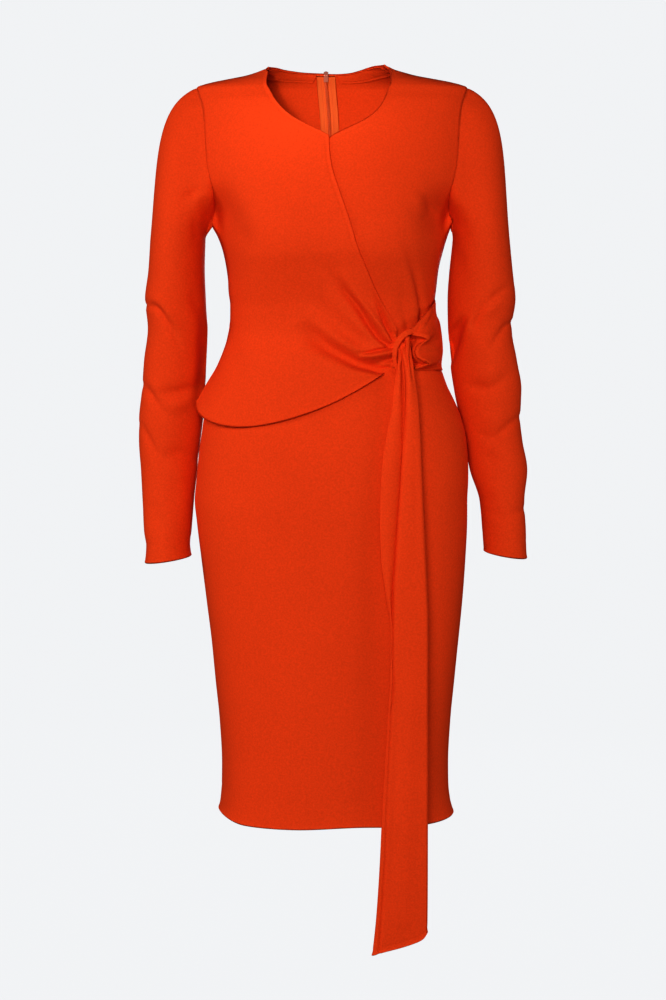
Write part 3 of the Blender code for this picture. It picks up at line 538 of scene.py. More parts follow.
def with_armpit(points, angle):
    """The same points with the hollow in front of each armpit: a bell round one place,
    pushed straight back."""
    across = bell(np.abs(points[..., 0]) - ARMPIT["x"], ARMPIT["wide"])
    up = bell(points[..., 2] - ARMPIT["z"], ARMPIT["tall"])
    hollow = np.zeros_like(points)
    hollow[..., 1] = ARMPIT["deep"] * across * up * ease(-np.sin(angle), 0.06, 0.42)
    return points + hollow


def row_levels(inner_z, outer_z, u, row):
    """Levels along the rows, from inner to outer. Rows by the armhole's lower end come
    in level there, so that they don't run along it."""
    power = 1 + 0.9 * bell(row - ARMHOLE_END, 3.2)[:, None]
    rest = (1 - u) ** power
    return inner_z[:, None] * rest + outer_z[:, None] * (1 - rest)


def row_angles(first, last, u):
    """Angles along the rows. Where the armhole's end makes the rows' ends swing fast,
    only the outer part of each row swings with it."""
    reach = len(last) // 12
    count = 2 * reach + 1
    steady = np.convolve(np.pad(last, reach, mode="edge"), np.full(count, 1 / count), "valid")
    return first[:, None] * (1 - u) + steady[:, None] * u + (last - steady)[:, None] * u**8


def panel_rows(inner_x, inner_z, outer_z, row, u, hand, side, forward=0.0):
    """Angles and levels of a bodice panel's grid, whose rows run from the inner edge to
    the armhole or side; hand 1 is the wearer's left, side -1 the front."""
    first, last = angle_of(inner_x, inner_z, side), outer_angle(outer_z, hand, side) + forward
    return row_angles(first, last, u), row_levels(inner_z, outer_z, u, row)


def centre_line(z):
    """How far across the centre back line lies at level z."""
    return smooth(z, CENTRE[:, 0], CENTRE[:, 1])


def picture(points):
    """Where points fall in the picture, in its pixels: a plain perspective view."""
    far = np.linalg.norm(AIM - EYE)
    along = (AIM - EYE) / far
    right = np.array([1.0, 0.0, 0.0])
    up = np.cross(right, along)
    r = points - EYE
    size = far / MM_PER_PIXEL / (r @ along)
    return np.stack([PICTURE_MIDDLE[0] + size * (r @ right), PICTURE_MIDDLE[1] - size * (r @ up)], -1)


def curve(points, steps):
    """A smooth line through a few points (a Catmull-Rom spline), evenly counted."""
    p = np.asarray(points, float)
    p = np.vstack([2 * p[0] - p[1], p, 2 * p[-1] - p[-2]])
    at = np.linspace(0, len(p) - 3, steps)
    i = np.clip(at.astype(int), 0, len(p) - 4)
    t = (at - i)[:, None]
    a, b, c, d = p[i], p[i + 1], p[i + 2], p[i + 3]
    return 0.5 * (
        2 * b + (c - a) * t + (2 * a - 5 * b + 4 * c - d) * t**2 + (3 * b - a - 3 * c + d) * t**3
    )


def folds(at, table):
    """Sum of listed folds at 2-D places. Each fold is a bell across its line,
    height(run) * exp(-(distance / width(run))^2), where run is how far along."""
    flat = at.reshape(-1, 2)
    total = np.zeros(len(flat))
    for line, wide, high in table:
        path = curve(line, 6 * len(line))
        reach = 3 * max(wide)
        near = np.flatnonzero(np.all((flat > path.min(0) - reach) & (flat < path.max(0) + reach), axis=1))
        if not len(near):
            continue
        a, d = path[:-1], np.diff(path, axis=0)
        p = flat[near][:, None] - a
        t = np.clip((p * d).sum(-1) / (d * d).sum(-1), 0, 1)
        gap = np.linalg.norm(p - t[..., None] * d, axis=-1)
        best = gap.argmin(1)
        pick = (np.arange(len(near)), best)
        run = (best + t[pick]) / len(a)
        w = np.interp(run, np.linspace(0, 1, len(wide)), wide)
        h = np.interp(run, np.linspace(0, 1, len(high)), high)
        total[near] += h * bell(gap[pick], w)
    return total.reshape(at.shape[:-1])


def turned_edge(d, roll=0.9, sink=0.35, deep=6.0):
    """Height near a turned and stitched edge at distance d: a roll at the very edge,
    and a slight sink where the stitches hold the turning."""
    return roll * bell(d, 2.2) - sink * bell(d - deep, 1.8)


def seam_dip(d):
    """Height near a pressed seam at distance d: a narrow valley."""
    return -0.7 * bell(d, 1.3) + 0.15 * bell(d - 4.0, 2.5)


def border_distances(points):
    """Distance of each grid point from the first and last row and column."""
    down = np.linalg.norm(np.diff(points, axis=0), axis=-1)
    across = np.linalg.norm(np.diff(points, axis=1), axis=-1)
    zero_row, zero_col = np.zeros((1, points.shape[1])), np.zeros((points.shape[0], 1))
    top = np.vstack([zero_row, np.cumsum(down, 0)])
    first = np.hstack([zero_col, np.cumsum(across, 1)])
    return top, top[-1:] - top, first, first[:, -1:] - first


def edges_height(points, top=None, bottom=None, first=None, last=None):
    """Sum of the edge and seam profiles named for the four borders of a grid."""
    distances = border_distances(points)
    named = [(kind, d) for kind, d in zip((top, bottom, first, last), distances) if kind]
    return sum(kind(d) for kind, d in named)


def grid_normals(points, closed=False):
    """Unit normals of a grid, from its neighbours; a closed one goes round its rows."""
    if closed:
        across = np.roll(points, -1, axis=1) - np.roll(points, 1, axis=1)
    else:
        across = np.gradient(points, axis=1)
    return unit(np.cross(np.gradient(points, axis=0), across))


def mesh_piece(name, points, quads, uv, material):
    """Puts arrays of points, four-cornered faces and corner UVs into a mesh."""
    mesh = bpy.data.meshes.new(name)
    mesh.vertices.add(len(points))
    mesh.vertices.foreach_set("co", (points * MM).astype(np.float32).ravel())
    mesh.loops.add(quads.size)
    mesh.loops.foreach_set("vertex_index", quads.astype(np.int32).ravel())
    mesh.polygons.add(len(quads))
    mesh.polygons.foreach_set("loop_start", np.arange(0, quads.size, 4, dtype=np.int32))
    mesh.polygons.foreach_set("use_smooth", np.ones(len(quads), bool))
    mesh.update(calc_edges=True)
    if uv is not None:
        layer = mesh.uv_layers.new(name="cloth")
        layer.data.foreach_set("uv", (uv * MM).astype(np.float32).ravel())
    mesh.materials.append(material)
    piece = bpy.data.objects.new(name, mesh)
    bpy.context.scene.collection.objects.link(piece)
    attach(piece, "dress")
    return piece


def grid_quads(index):
    """The four-cornered faces of a grid of point numbers."""
    corners = [index[:-1, :-1], index[:-1, 1:], index[1:, 1:], index[1:, :-1]]
    return np.stack(corners, -1).reshape(-1, 4)


def round_index(rows, around):
    """Point numbers of a grid that closes round its rows."""
    index = np.arange(rows * around).reshape(rows, around)
    return np.hstack([index, index[:, :1]])


def corner_values(values):
    """Values on a grid, as one for each corner of its faces."""
    rows, cols = values.shape[:2]
    return values.reshape(-1, 2)[grid_quads(np.arange(rows * cols).reshape(rows, cols))]


def outside_out(points, quads, uv=None):
    """The faces of a closed form, turned over if they enclose it inside out: by the
    sign of the volume under them."""
    a, b, c, d = (points[quads[:, k]] for k in range(4))
    if (np.cross(b, c) * a).sum() + (np.cross(c, d) * a).sum() < 0:
        quads, uv = quads[:, ::-1], None if uv is None else uv[:, ::-1]
    return quads, uv


def shell(node_name, outer, thick=CLOTH, closed=False, flip=False, inner=None, finish="crepe"):
    """A thin closed shell that stands for a node: the outer grid, an inner grid a
    wall's thickness inside it, and a rounded rim that bulges beyond the borders."""
    rows, cols = outer.shape[:2]
    count = rows * cols
    if inner is None:
        normal = grid_normals(outer, closed) * (-1 if flip else 1)
        inner = outer - normal * np.broadcast_to(thick, (rows, cols))[..., None]
    # Places on the flat cloth, by the lengths run across and down.
    index = round_index(rows, cols) if closed else np.arange(count).reshape(rows, cols)
    wide = np.concatenate([outer, outer[:, :1]], axis=1) if closed else outer
    _, _, u, _ = border_distances(wide)
    down = np.linalg.norm(np.diff(wide, axis=0, prepend=wide[:1]), axis=-1)
    place = np.stack([u - u[:, u.shape[1] // 2][:, None], np.cumsum(down, 0)], -1)
    # The borders: point numbers along each, places, and the directions inwards.
    if closed:
        borders = [(index[n], place[n], outer[m] - outer[n]) for n, m in ((0, 1), (-1, -2))]
    else:
        # Once round: along the first row, down the last column, back, and up the first.
        r = np.concatenate([[0] * cols, range(1, rows), [rows - 1] * (cols - 1), range(rows - 2, -1, -1)])
        c = np.concatenate([range(cols), [cols - 1] * (rows - 1), range(cols - 2, -1, -1), [0] * (rows - 1)])
        inside = outer[np.clip(r, 1, rows - 2), np.clip(c, 1, cols - 2)]
        borders = [(index[r, c], place[r, c], (inside - outer[r, c])[:-1])]
    skin, corner = grid_quads(index), corner_values(place)
    points = [outer.reshape(-1, 3), inner.reshape(-1, 3)]
    faces, uvs = [skin, skin[:, ::-1] + count], [corner, corner[:, ::-1]]
    start = 2 * count
    for n, (line, where, inward) in enumerate(borders):
        outer_line, inner_line = points[0][line[:-1]], points[1][line[:-1]]
        half = np.linalg.norm(outer_line - inner_line, axis=-1, keepdims=True) / 2
        rim = (outer_line + inner_line) / 2 - unit(inward) * half * 0.8
        points.append(rim)
        middle = np.append(np.arange(start, start + len(rim)), start)
        start += len(rim)
        for first, second in ((line, middle), (middle, line + count)):
            f = np.stack([first[:-1], second[:-1], second[1:], first[1:]], -1)
            w = np.stack([where[:-1], where[:-1], where[1:], where[1:]], 1)
            turn = -1 if n == 0 else 1
            faces.append(f[:, ::turn])
            uvs.append(w[:, ::turn])
    points = np.concatenate(points)
    faces, uvs = outside_out(points, np.concatenate(faces), np.concatenate(uvs))
    piece = mesh_piece(node_name + "_cloth", points, faces, uvs, FINISHES[finish])
    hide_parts(node_name)
    return piece


def rings_along(line, across, front, wide, high):
    """A ring of points about each point of a line; wide and high are its points' places
    in the directions across and front."""
    line, across, front = (np.asarray(v)[..., None, :] for v in (line, across, front))
    return line + across * wide[..., None] + front * high[..., None]


def tube(name, rings, material, uv=None):
    """A mesh piece from rings of points, each joined to the next."""
    points = rings.reshape(-1, 3)
    quads, uv = outside_out(points, grid_quads(round_index(*rings.shape[:2])), uv)
    return mesh_piece(name, points, quads, uv, material)


def counts(rows, cols):
    return max(8, int(rows * DENSE)), max(8, int(cols * DENSE))


# ---- finishes


def finish_material(name, base, rough):
    """A material with its tree and its shader node."""
    material = bpy.data.materials.new(name)
    material.use_nodes = True
    tree = material.node_tree
    shader = tree.nodes["Principled BSDF"]
    shader.inputs["Base Color"].default_value = (*base, 1)
    shader.inputs["Roughness"].default_value = rough
    return material, tree, shader


def node(tree, kind, *sources, **values):
    """A shader node: its first inputs from other nodes' outputs or numbers, then inputs
    and settings by name, with _ for a space in an input's name."""
    made = tree.nodes.new("ShaderNode" + kind)
    for key, value in values.items():
        socket = key.replace("_", " ")
        if socket in made.inputs:
            made.inputs[socket].default_value = value
        else:
            setattr(made, key, value)
    for socket, source in zip(made.inputs, sources):
        if isinstance(source, float):
            socket.default_value = source
        else:
            tree.links.new(source, socket)
    return made


def pattern(tree, kind, source, **values):
    """The grey value of a texture node laid on the piece by a source of places."""
    return node(tree, kind, source, **values).outputs["Fac"]


def shade(base, factor):
    """A colour made darker or paler."""
    return [min(1.0, v * factor) for v in base]


def coloured(tree, shader, value, dark, pale, low=0.0, high=1.0):
    """Colours the surface from dark to pale as a value goes from low to high."""
    ramp = node(tree, "ValToRGB", value)
    for stop, place, colour in zip(ramp.color_ramp.elements, (low, high), (dark, pale)):
        stop.position = place
        stop.color = (*colour, 1)
    tree.links.new(ramp.outputs["Color"], shader.inputs["Base Color"])


def bumped(tree, shader, height, strength, distance):
    """Fine relief from a height value."""
    bump = node(tree, "Bump", Strength=strength, Distance=distance)
    tree.links.new(height, bump.inputs["Height"])
    tree.links.new(bump.outputs["Normal"], shader.inputs["Normal"])


def crepe_material(base):
    """Matte crepe: crinkled warp and weft as two crossed, wavering thread patterns on
    the piece's own UV map, a fine pebble between them, and faint mottling."""
    material, tree, shader = finish_material("crepe", base, 0.80)
    flat = node(tree, "UVMap", uv_map="cloth").outputs["UV"]
    place = node(tree, "TexCoord").outputs["Object"]
    pebble = pattern(tree, "TexNoise", place, Scale=620.0, Detail=2.0, Roughness=0.6)
    wavering = {"Scale": 190.0, "Distortion": 1.6, "Detail": 1.0, "Detail_Scale": 1.4}
    warp, weft = (
        pattern(tree, "TexWave", flat, wave_type="BANDS", bands_direction=direction, **wavering)
        for direction in ("X", "Y")
    )
    weave = node(tree, "Math", warp, weft, operation="MULTIPLY").outputs[0]
    grainy = node(tree, "Math", pebble, 1.1, weave, operation="MULTIPLY_ADD").outputs[0]
    bumped(tree, shader, grainy, 0.35, 0.00035)
    mottle = pattern(tree, "TexNoise", place, Scale=9.0, Detail=3.0)
    speck = pattern(tree, "TexNoise", place, Scale=430.0, Detail=1.0)
    both = node(tree, "Math", mottle, 0.35, speck, operation="MULTIPLY_ADD").outputs[0]
    coloured(tree, shader, both, shade(base, 0.91), shade(base, 1.07), 0.42, 0.98)
    shader.inputs["Sheen Weight"].default_value = 0.02
    shader.inputs["Sheen Roughness"].default_value = 0.5
    shader.inputs["Sheen Tint"].default_value = (1.0, 0.45, 0.25, 1)
    shader.inputs["Specular IOR Level"].default_value = 0.1
    return material


def tape_material():
    """Zip tape: a fine herringbone of two slanting thread patterns."""
    material, tree, shader = finish_material("zip_tape_weave", (0.86, 0.150, 0.034), 0.75)
    flat = node(tree, "UVMap", uv_map="cloth").outputs["UV"]
    threads = []
    for slant in (0.7, -0.7):
        turned = node(tree, "Mapping", flat, Rotation=(0, 0, slant)).outputs["Vector"]
        threads.append(pattern(tree, "TexWave", turned, bands_direction="X", Scale=260.0, Distortion=0.4))
    weave = node(tree, "Math", *threads, operation="MAXIMUM").outputs[0]
    bumped(tree, shader, weave, 0.5, 0.0003)
    coloured(tree, shader, weave, (0.76, 0.120, 0.026), (0.92, 0.168, 0.040))
    shader.inputs["Specular IOR Level"].default_value = 0.15
    return material


def speckled_material(name, base, rough, metal=0.0, scale=900.0, strength=0.1):
    """A plain finish with fine unevenness in colour, gloss and surface."""
    material, tree, shader = finish_material(name, base, rough)
    place = node(tree, "TexCoord").outputs["Object"]
    noise = pattern(tree, "TexNoise", place, Scale=scale, Detail=3.0)
    coloured(tree, shader, noise, shade(base, 0.88), shade(base, 1.1))
    least, most = max(0.05, rough - 0.1), min(1.0, rough + 0.12)
    gloss = node(tree, "MapRange", noise, To_Min=least, To_Max=most)
    tree.links.new(gloss.outputs["Result"], shader.inputs["Roughness"])
    bumped(tree, shader, noise, strength, 0.0002)
    shader.inputs["Metallic"].default_value = metal
    return material


FINISHES = {"crepe": crepe_material((0.80, 0.076, 0.0135)), "zip_cloth": tape_material()}
COIL_PLASTIC = speckled_material("zip_coil_plastic", (0.82, 0.135, 0.032), 0.4)
ZIP_METAL = speckled_material("zip_painted_metal", (0.78, 0.270, 0.185), 0.34, 0.35, 600.0, 0.05)
THREAD = speckled_material("sewing_thread", (0.80, 0.110, 0.024), 0.6, 0.0, 2400.0, 0.4)


# ---- bodice


def between(table, row, tip_side, corner=None):
    """A table's values at fractional rows. The first row's edge is right out at the
    side of its ring, so up to row 1 the edge turns evenly from there."""
    at = np.arange(len(table), dtype=float)

    def value(i):
        v = table[:, i]
        if corner is None:
            return smooth(row, at[1:], v[1:]) if i == 0 else smooth(row, at, v)
        low = smooth(row, at[: corner + 1], v[: corner + 1])
        return np.where(row <= corner, low, smooth(row, at[corner:], v[corner:]))

    values = [value(i) for i in range(table.shape[1])]
    centre, half, _, _, square = ring(values[1])
    tip = 0.0 if tip_side > 0 else -np.pi
    turn = tip + (angle_of(table[1, 0], table[1, 1], -1) - tip) * row
    edge = centre + half * np.cos(turn) * (1 + square * np.sin(turn) ** 2)
    values[0] = np.where(row < 1, edge, values[0])
    return values


# Soft drag lines across the small of the back and below the shoulder blades.
BACK_FOLDS = [
    (
        [(-112, -318), (-60, -332), (-6, -326), (48, -334), (108, -320)],
        (10, 12, 10), (0, -2.6, -2.2, -2.8, 0),
    ),
    (
        [(-118, -352), (-64, -364), (0, -357), (62, -368), (116, -354)],
        (11, 13, 11), (0, -2.4, -3.2, -2, 0),
    ),
    ([(-104, -388), (-40, -396), (30, -391), (98, -398)], (12, 14, 10), (0, -1.8, -1.4, 0)),
    ([(-108, -336), (-50, -348), (4, -342), (58, -351), (112, -338)], (9, 10, 9), (0, 1.2, 1.4, 1, 0)),
    ([(-150, -196), (-112, -226), (-84, -262)], (9, 12, 8), (0, -2.4, 0)),
    ([(152, -204), (120, -228), (96, -268)], (8, 12, 9), (0, -2, 0)),
    ([(-96, -120), (-70, -160), (-60, -204)], (16, 20), (0, 2, 0)),
    ([(96, -124), (74, -166), (66, -206)], (16, 20), (0, 1.8, 0)),
    ([(-70, -430), (-82, -500), (-78, -560)], (26, 34), (0, 3, 0)),
    ([(72, -430), (84, -505), (80, -565)], (26, 34), (0, 3, 0)),
    ([(0, -470), (0, -520), (0, -600)], (14, 20), (0, -2.6, 0)),
]


def back_dents(x, z):
    """Height of the back's folds at places across and levels."""
    return folds(np.stack([x, z], -1), BACK_FOLDS)


def back_table(hand):
    """The back's table for one half, its inner edge as a place across."""
    table = BACK.copy()
    table[:, 0] = centre_line(table[:, 1]) + hand * table[:, 0]
    shift = NECK_SHIFT[SIDES[hand]]
    table[: len(shift), 1] += shift
    return table


def bodice_back(hand):
    """Half of the back: rows from the neck and the zip out to the armhole and side."""
    rows, cols = counts(*GRIDS["back"])
    row = np.linspace(0, len(BACK) - 1, rows)
    inner_x, inner_z, outer_z = between(back_table(hand), row, hand)
    inner_x = np.where(row >= BACK_CORNER, centre_line(inner_z), inner_x)
    angle, z = panel_rows(inner_x, inner_z, outer_z, row, np.linspace(0, 1, cols), hand, 1)
    points = worn(angle, z)
    first_gap = border_distances(points)[2]
    out = edges_height(points, top=seam_dip, bottom=seam_dip, last=seam_dip)
    by_zip = row[:, None] > BACK_CORNER
    out += np.where(by_zip, seam_dip(first_gap), turned_edge(first_gap, 0.5, 0.3, 5.0))
    out += back_dents(points[..., 0], z)
    return shell("bodice_back_" + SIDES[hand], stand_off(angle, z, out), flip=hand < 0)


def wrap_edge_x(z):
    """How far towards the wearer's left the wrap's edge lies at level z."""
    rows = WRAP[WRAP_CORNER:]
    return np.where(z > rows[0, 1], -400.0, smooth(z, rows[:, 1], rows[:, 0]))


def peplum_z(x):
    """Level of the peplum's lower edge at x."""
    return smooth(x, PEPLUM_LINE[:, 0], PEPLUM_LINE[:, 1])


def lie_back(x, z):
    """How far what the wrap covers lies back from it, most behind the gathers."""
    return OVER + 3.0 * ease(-z, 340, 366) + 4.5 * bell(x - 62, 40) * bell(z + 348, 40)


def bodice_front_left():
    """Under panel: from the wearer's left side across to the other side seam. Where
    the wrap covers it, it lies back a little, to leave room for the wrap's folds."""
    rows, cols = counts(*GRIDS["under"])
    row = np.linspace(0, len(UNDER) - 1, rows)
    inner_x, inner_z, outer_z = between(UNDER, row, 1)
    inner_x = np.where(row > UNDER_SIDE, -TIP, inner_x)
    angle, z = panel_rows(inner_x, inner_z, outer_z, row, np.linspace(0, 1, cols), 1, -1)
    points = worn(angle, z)
    hidden = ease(wrap_edge_x(z) - points[..., 0], 5, 24)
    first_gap = border_distances(points)[2]
    neck = (row[:, None] <= UNDER_CORNER) & (first_gap < 14)
    out = edges_height(points, top=seam_dip, bottom=seam_dip, last=seam_dip)
    out += np.where(neck, turned_edge(first_gap, 0.6, 0.25, 5.0), 0.0)
    out += 1.4 * folds(picture(points), UNDER_FOLDS) * (1 - hidden)
    out -= (lie_back(points[..., 0], z) + BEHIND_WRAP) * hidden * ease(-z, 120, 180)
    return shell("bodice_front_left", with_armpit(stand_off(angle, z, out), angle))


def under_edge(z):
    """How far towards the wearer's right the under panel reaches at level z."""
    rows = UNDER[UNDER_CORNER : UNDER_SIDE + 1]
    return np.where(z > rows[0, 1], 40.0, smooth(z, rows[:, 1], rows[:, 0]))


def wrap_front():
    """Wrap and peplum: rows from the wrap's edge to the shoulder, armhole, side seam
    and free side edge. A row bows down by its sag, and stands off the worn surface
    by a blend of its two ends plus its folds."""
    rows, cols = counts(*GRIDS["wrap"])
    row = (len(WRAP) - 1) * np.linspace(0, 1, rows) ** 0.8
    values = between(WRAP, row, -1, WRAP_CORNER)
    inner_x, inner_z, forward, outer_z, out_in, out_out, sag, gather = values
    u = np.linspace(0, 1, cols) ** 1.45
    angle, z = panel_rows(inner_x, inner_z, outer_z, row, u, -1, -1, forward)
    z = z - sag[:, None] * np.sin(np.pi * u**1.12)
    where = worn(angle, z)
    # How far it stands off: over the panel below, by its gather, and loose further down.
    over = ease(where[..., 0] - under_edge(z), -34, -8) * (z < -60)
    over = np.where(z < -325, 1.0, over) * OVER
    at_hem = ease(row, 20.5, 24)[:, None]
    arch = np.sin(np.pi * np.clip(u, 0, 1))
    loose = 5.0 * ease(-z, 346, 380) * (1 - 0.85 * at_hem) * arch**0.7
    out = out_in[:, None] * (1 - ease(u, 0.0, 0.55)) + out_out[:, None] * ease(u, 0.45, 1.0)
    out = np.maximum(out, over) + gather[:, None] * np.exp(-((u / 0.30) ** 1.5)) + loose
    out = np.maximum(out, over)
    smooth_form = stand_off(angle, z, out)
    # Folds, seams and turned edges.
    high = folds(picture(smooth_form), WRAP_FOLDS)
    top, bottom, first_gap, last_gap = border_distances(smooth_form)
    high += seam_dip(top) * (row[:, None] < WRAP_CORNER)
    high += turned_edge(bottom, 1.0, 0.35, 6.0)
    high += turned_edge(first_gap, 0.5 + 0.3 * ease(row, 4.5, 7.5)[:, None], 0.3, 5.0)
    free = ease(row, WRAP_FREE, WRAP_FREE + 1)[:, None]
    high += seam_dip(last_gap) * (1 - free) + turned_edge(last_gap) * free
    # Rolling waves that run down the peplum, deepest at its free edge.
    wave = np.sin(2 * np.pi * (u * 2.6 + 0.1 * np.sin(5 * u)) + 0.9)
    high += 0.8 * wave * at_hem * arch**0.5
    share = over / OVER
    least = -9.0 * (1 - share) + (over - OVER - lie_back(where[..., 0], z)) * share
    points = stand_off(angle, z, np.maximum(out + high, least))
    return shell("wrap_front_right", with_armpit(points, angle), flip=True)


# ---- skirt


# Soft pulls of the skirt over the hips in front.
SKIRT_FOLDS = [
    ([(-150, -520), (-120, -560), (-96, -620)], (16, 22), (0, -1.8, 0)),
    ([(140, -500), (128, -560), (120, -640)], (12, 18), (0, -1.6, 0)),
    ([(-20, -640), (-14, -760), (-22, -900)], (40, 46), (0, 1.6, 0)),
    ([(60, -560), (56, -700), (58, -860)], (22, 26), (0, -1.8, 0)),
]


def under_the_front(x, z, angle):
    """Height of the skirt's front: its pulls, and how far it lies back under the
    peplum, the sash and the tab's lower edge."""
    pulls = folds(np.stack([x, z], -1), SKIRT_FOLDS) * ease(-np.sin(angle), 0.05, 0.3)
    hidden = ease(z - peplum_z(x), 6, 26) * (x < 84) * ease(84 - x, 0, 10)
    beside = ease(x, 74, 84) * (1 - ease(x, 112, 122)) * ease(z, -430, -400)
    tab_edge = TAB[-1, 0] + (TAB[-1, 3] - TAB[-1, 0]) * np.clip((148 - x) / 40, 0, 1)
    let_in = ease(z, tab_edge - 1.5, tab_edge + 1.0) * ease(x, 100, 108)
    back = (lie_back(x, z) + BEHIND_WRAP) * hidden
    return pulls - back - np.maximum(2.0 * beside, 1.9 * let_in)


def skirt(name, first, last):
    """A skirt panel between two angles: rows from the waist to the hem, which follows
    its own line."""
    front = name == "skirt_front"
    rows, cols = counts(SKIRT_ROWS, SKIRT_COLUMNS["front" if front else "back"])
    u = np.linspace(0, 1, cols)
    even = np.linspace(0, 0.97, rows - HEM_ROWS, endpoint=False)
    v = np.concatenate([even, np.linspace(0.97, 1, HEM_ROWS)])
    angle = np.broadcast_to(first + (last - first) * u, (rows, cols)).copy()
    edge = worn(angle[-1], np.full(cols, HEM))[:, 0]
    up = smooth(edge, HEM_LINE[:, 0], HEM_LINE[:, 1])
    z = WAIST + (HEM - WAIST) * v[:, None] + up * ease(v, 0.8, 1.0)[:, None]
    if not front:
        line = angle_of(centre_line(z[:, 0]), z[:, 0], 1)
        angle = angle + (line - np.pi / 2)[:, None] * (1 - u)
    points = worn(angle, z)
    x = points[..., 0]
    _, bottom, first_gap, last_gap = border_distances(points)
    out = edges_height(points, top=seam_dip, first=seam_dip, last=seam_dip)
    out += 0.5 * bell(bottom, 2.4) - 0.22 * bell(bottom - SKIRT_TURN, 2.2)
    # The hem swings in and out a little between the seams.
    swing = 1.3 * ease(bottom, 190, 0) * np.sin(angle * 5 + 0.6)
    out += swing * np.minimum(1, np.minimum(first_gap, last_gap) / 40)
    out += under_the_front(x, z, angle) if front else back_dents(x, z)
    # The turned-up hem makes the wall nearly double.
    thick = CLOTH * (1 + 0.9 * ease(bottom, SKIRT_TURN + 2, SKIRT_TURN - 1))
    return shell(name, stand_off(angle, z, out), thick=thick, flip=name == "skirt_back_left")


# ---- sleeves

# Folds on the two sleeves: those that show in the picture, by its pixels, and those
# on the far side, by (distance round from the outer line, level) in millimetres.
SLEEVE_FOLDS = {
    "right": [
        (
            [(145, 305), (157, 309), (168, 324), (176, 338), (183, 352)],
            (2.4, 3, 4, 4.6), (-1.6, -4.4, -4, -2.4, 0),
        ),
        ([(150, 296), (160, 301), (171, 316), (180, 330)], (4, 4.6, 5), (0.6, 2.6, 2.2, 0)),
        ([(143, 384), (150, 394), (157, 405), (166, 419)], (3, 3.6, 4.4), (-1.4, -4, -3, 0)),
        ([(147, 374), (158, 388), (168, 402)], (5, 6), (0, 2.2, 0)),
        ([(141, 424), (148, 438), (156, 453), (169, 467)], (3, 3.6, 4.4), (-1, -3.4, -2.4, 0)),
        ([(155, 389), (176, 393), (205, 384)], (5, 6, 5), (0, -3.6, -4, -1.6)),
        ([(158, 402), (178, 405), (200, 398)], (6, 7), (0, 2.6, 0)),
        ([(160, 457), (177, 454), (194, 458)], (6, 6), (0, -3.4, -2.6)),
        ([(162, 470), (180, 474), (192, 472)], (6, 7), (0, 2, 0)),
        ([(205, 306), (203, 340), (203, 372), (198, 406)], (4.5, 5.5), (0, -3, -3.4, 0)),
        ([(188, 290), (196, 302), (203, 318)], (5, 6), (0, -3, -1.6)),
        ([(150, 500), (158, 520), (161, 545)], (7, 8), (0, -2.4, 0)),
        ([(180, 470), (184, 500), (182, 530)], (6, 8), (0, 1.8, 0)),
        ([(179, 199), (191, 194), (201, 190)], (4, 4.5), (0, -3.4, -1)),
        ([(194, 206), (197, 228), (198, 256)], (5, 6.5), (0, -3, 0)),
    ],
    "left": [
        ([(449, 360), (453, 346), (458, 331), (467, 316)], (4.2, 5, 4.4), (-4.4, -7.5, -5, 0)),
        ([(461, 342), (469, 326), (480, 307)], (4, 5), (0, 4.4, 0)),
        ([(470, 332), (477, 318), (487, 300)], (3.4, 4), (0, -4.6, -3, 0)),
        ([(484, 310), (496, 297), (510, 284)], (3.6, 4.2), (0, -3.6, -0.8)),
        ([(480, 322), (492, 308), (503, 298)], (4, 5), (0, 2.6, 0)),
        ([(512, 322), (505, 328), (496, 340), (488, 352)], (2.6, 3.4, 4), (-1.8, -3.4, -2.4, 0)),
        ([(520, 416), (511, 424), (494, 438), (474, 432)], (3, 4, 4.6), (-1.4, -3.6, -3.4, 0)),
        ([(463, 384), (478, 388), (494, 388), (516, 366)], (4.6, 5.5), (0, -3.4, -3, 0)),
        ([(470, 372), (488, 374), (506, 360)], (6, 7), (0, 2.4, 0)),
        ([(476, 414), (492, 420), (508, 410)], (6, 7), (0, 2.4, 0)),
        ([(480, 452), (492, 460), (506, 462)], (5, 6), (0, -2.2, 0)),
        ([(525, 508), (514, 514), (500, 516), (486, 510)], (3.4, 4.4), (-1.2, -2.4, -1.8, 0)),
        ([(484, 482), (496, 490), (510, 488)], (5, 6), (0, 1.8, 0)),
        ([(452, 232), (458, 262), (462, 296)], (7, 9), (0, -3, 0)),
        ([(455, 200), (462, 226), (464, 250)], (5, 7), (0, -2.4, 0)),
    ],
}
# Hollows beside a sleeve's inner line, pushed straight back so that its outline stays.
SLEEVE_HOLLOWS = {
    "right": [
        ([(205, 300), (205, 330), (203, 366), (198, 404)], (4.5, 5.5, 5), (0, 6, 8, 3)),
        ([(203, 196), (206, 214), (207, 240)], (6, 6), (0, 7, 3)),
    ],
    "left": [
        (
            [(449, 378), (449, 360), (452, 344), (457, 330), (466, 316)],
            (6, 8, 7.5, 4.5), (0, 9, 15, 13, 0),
        ),
        ([(455, 204), (453, 222), (451, 246)], (6, 6), (0, 9, 4)),
    ],
}
FAR_FOLDS = [
    ([(176, -300), (200, -318), (226, -312)], (7, 8), (0, -3, 0)),
    ([(150, -352), (190, -366), (232, -356)], (7, 9), (0, -3.2, 0)),
    ([(140, -398), (186, -414), (240, -404)], (8, 9), (0, -3.6, 0)),
    ([(152, -432), (196, -446), (236, -438)], (7, 8), (0, -3, 0)),
    ([(168, -470), (200, -482), (228, -476)], (7, 8), (0, -2, 0)),
    ([(150, -376), (190, -390), (234, -380)], (8, 9), (0, 2, 0)),
    ([(160, -420), (196, -430), (232, -422)], (7, 8), (0, 1.8, 0)),
    ([(176, -560), (196, -590), (206, -620)], (9, 10), (0, -1.6, 0)),
    ([(196, -180), (206, -230), (200, -270)], (14, 16), (0, -2.2, 0)),
]
FAR_SHIFT = {"right": (0.0, 0.0), "left": (6.0, 9.0)}
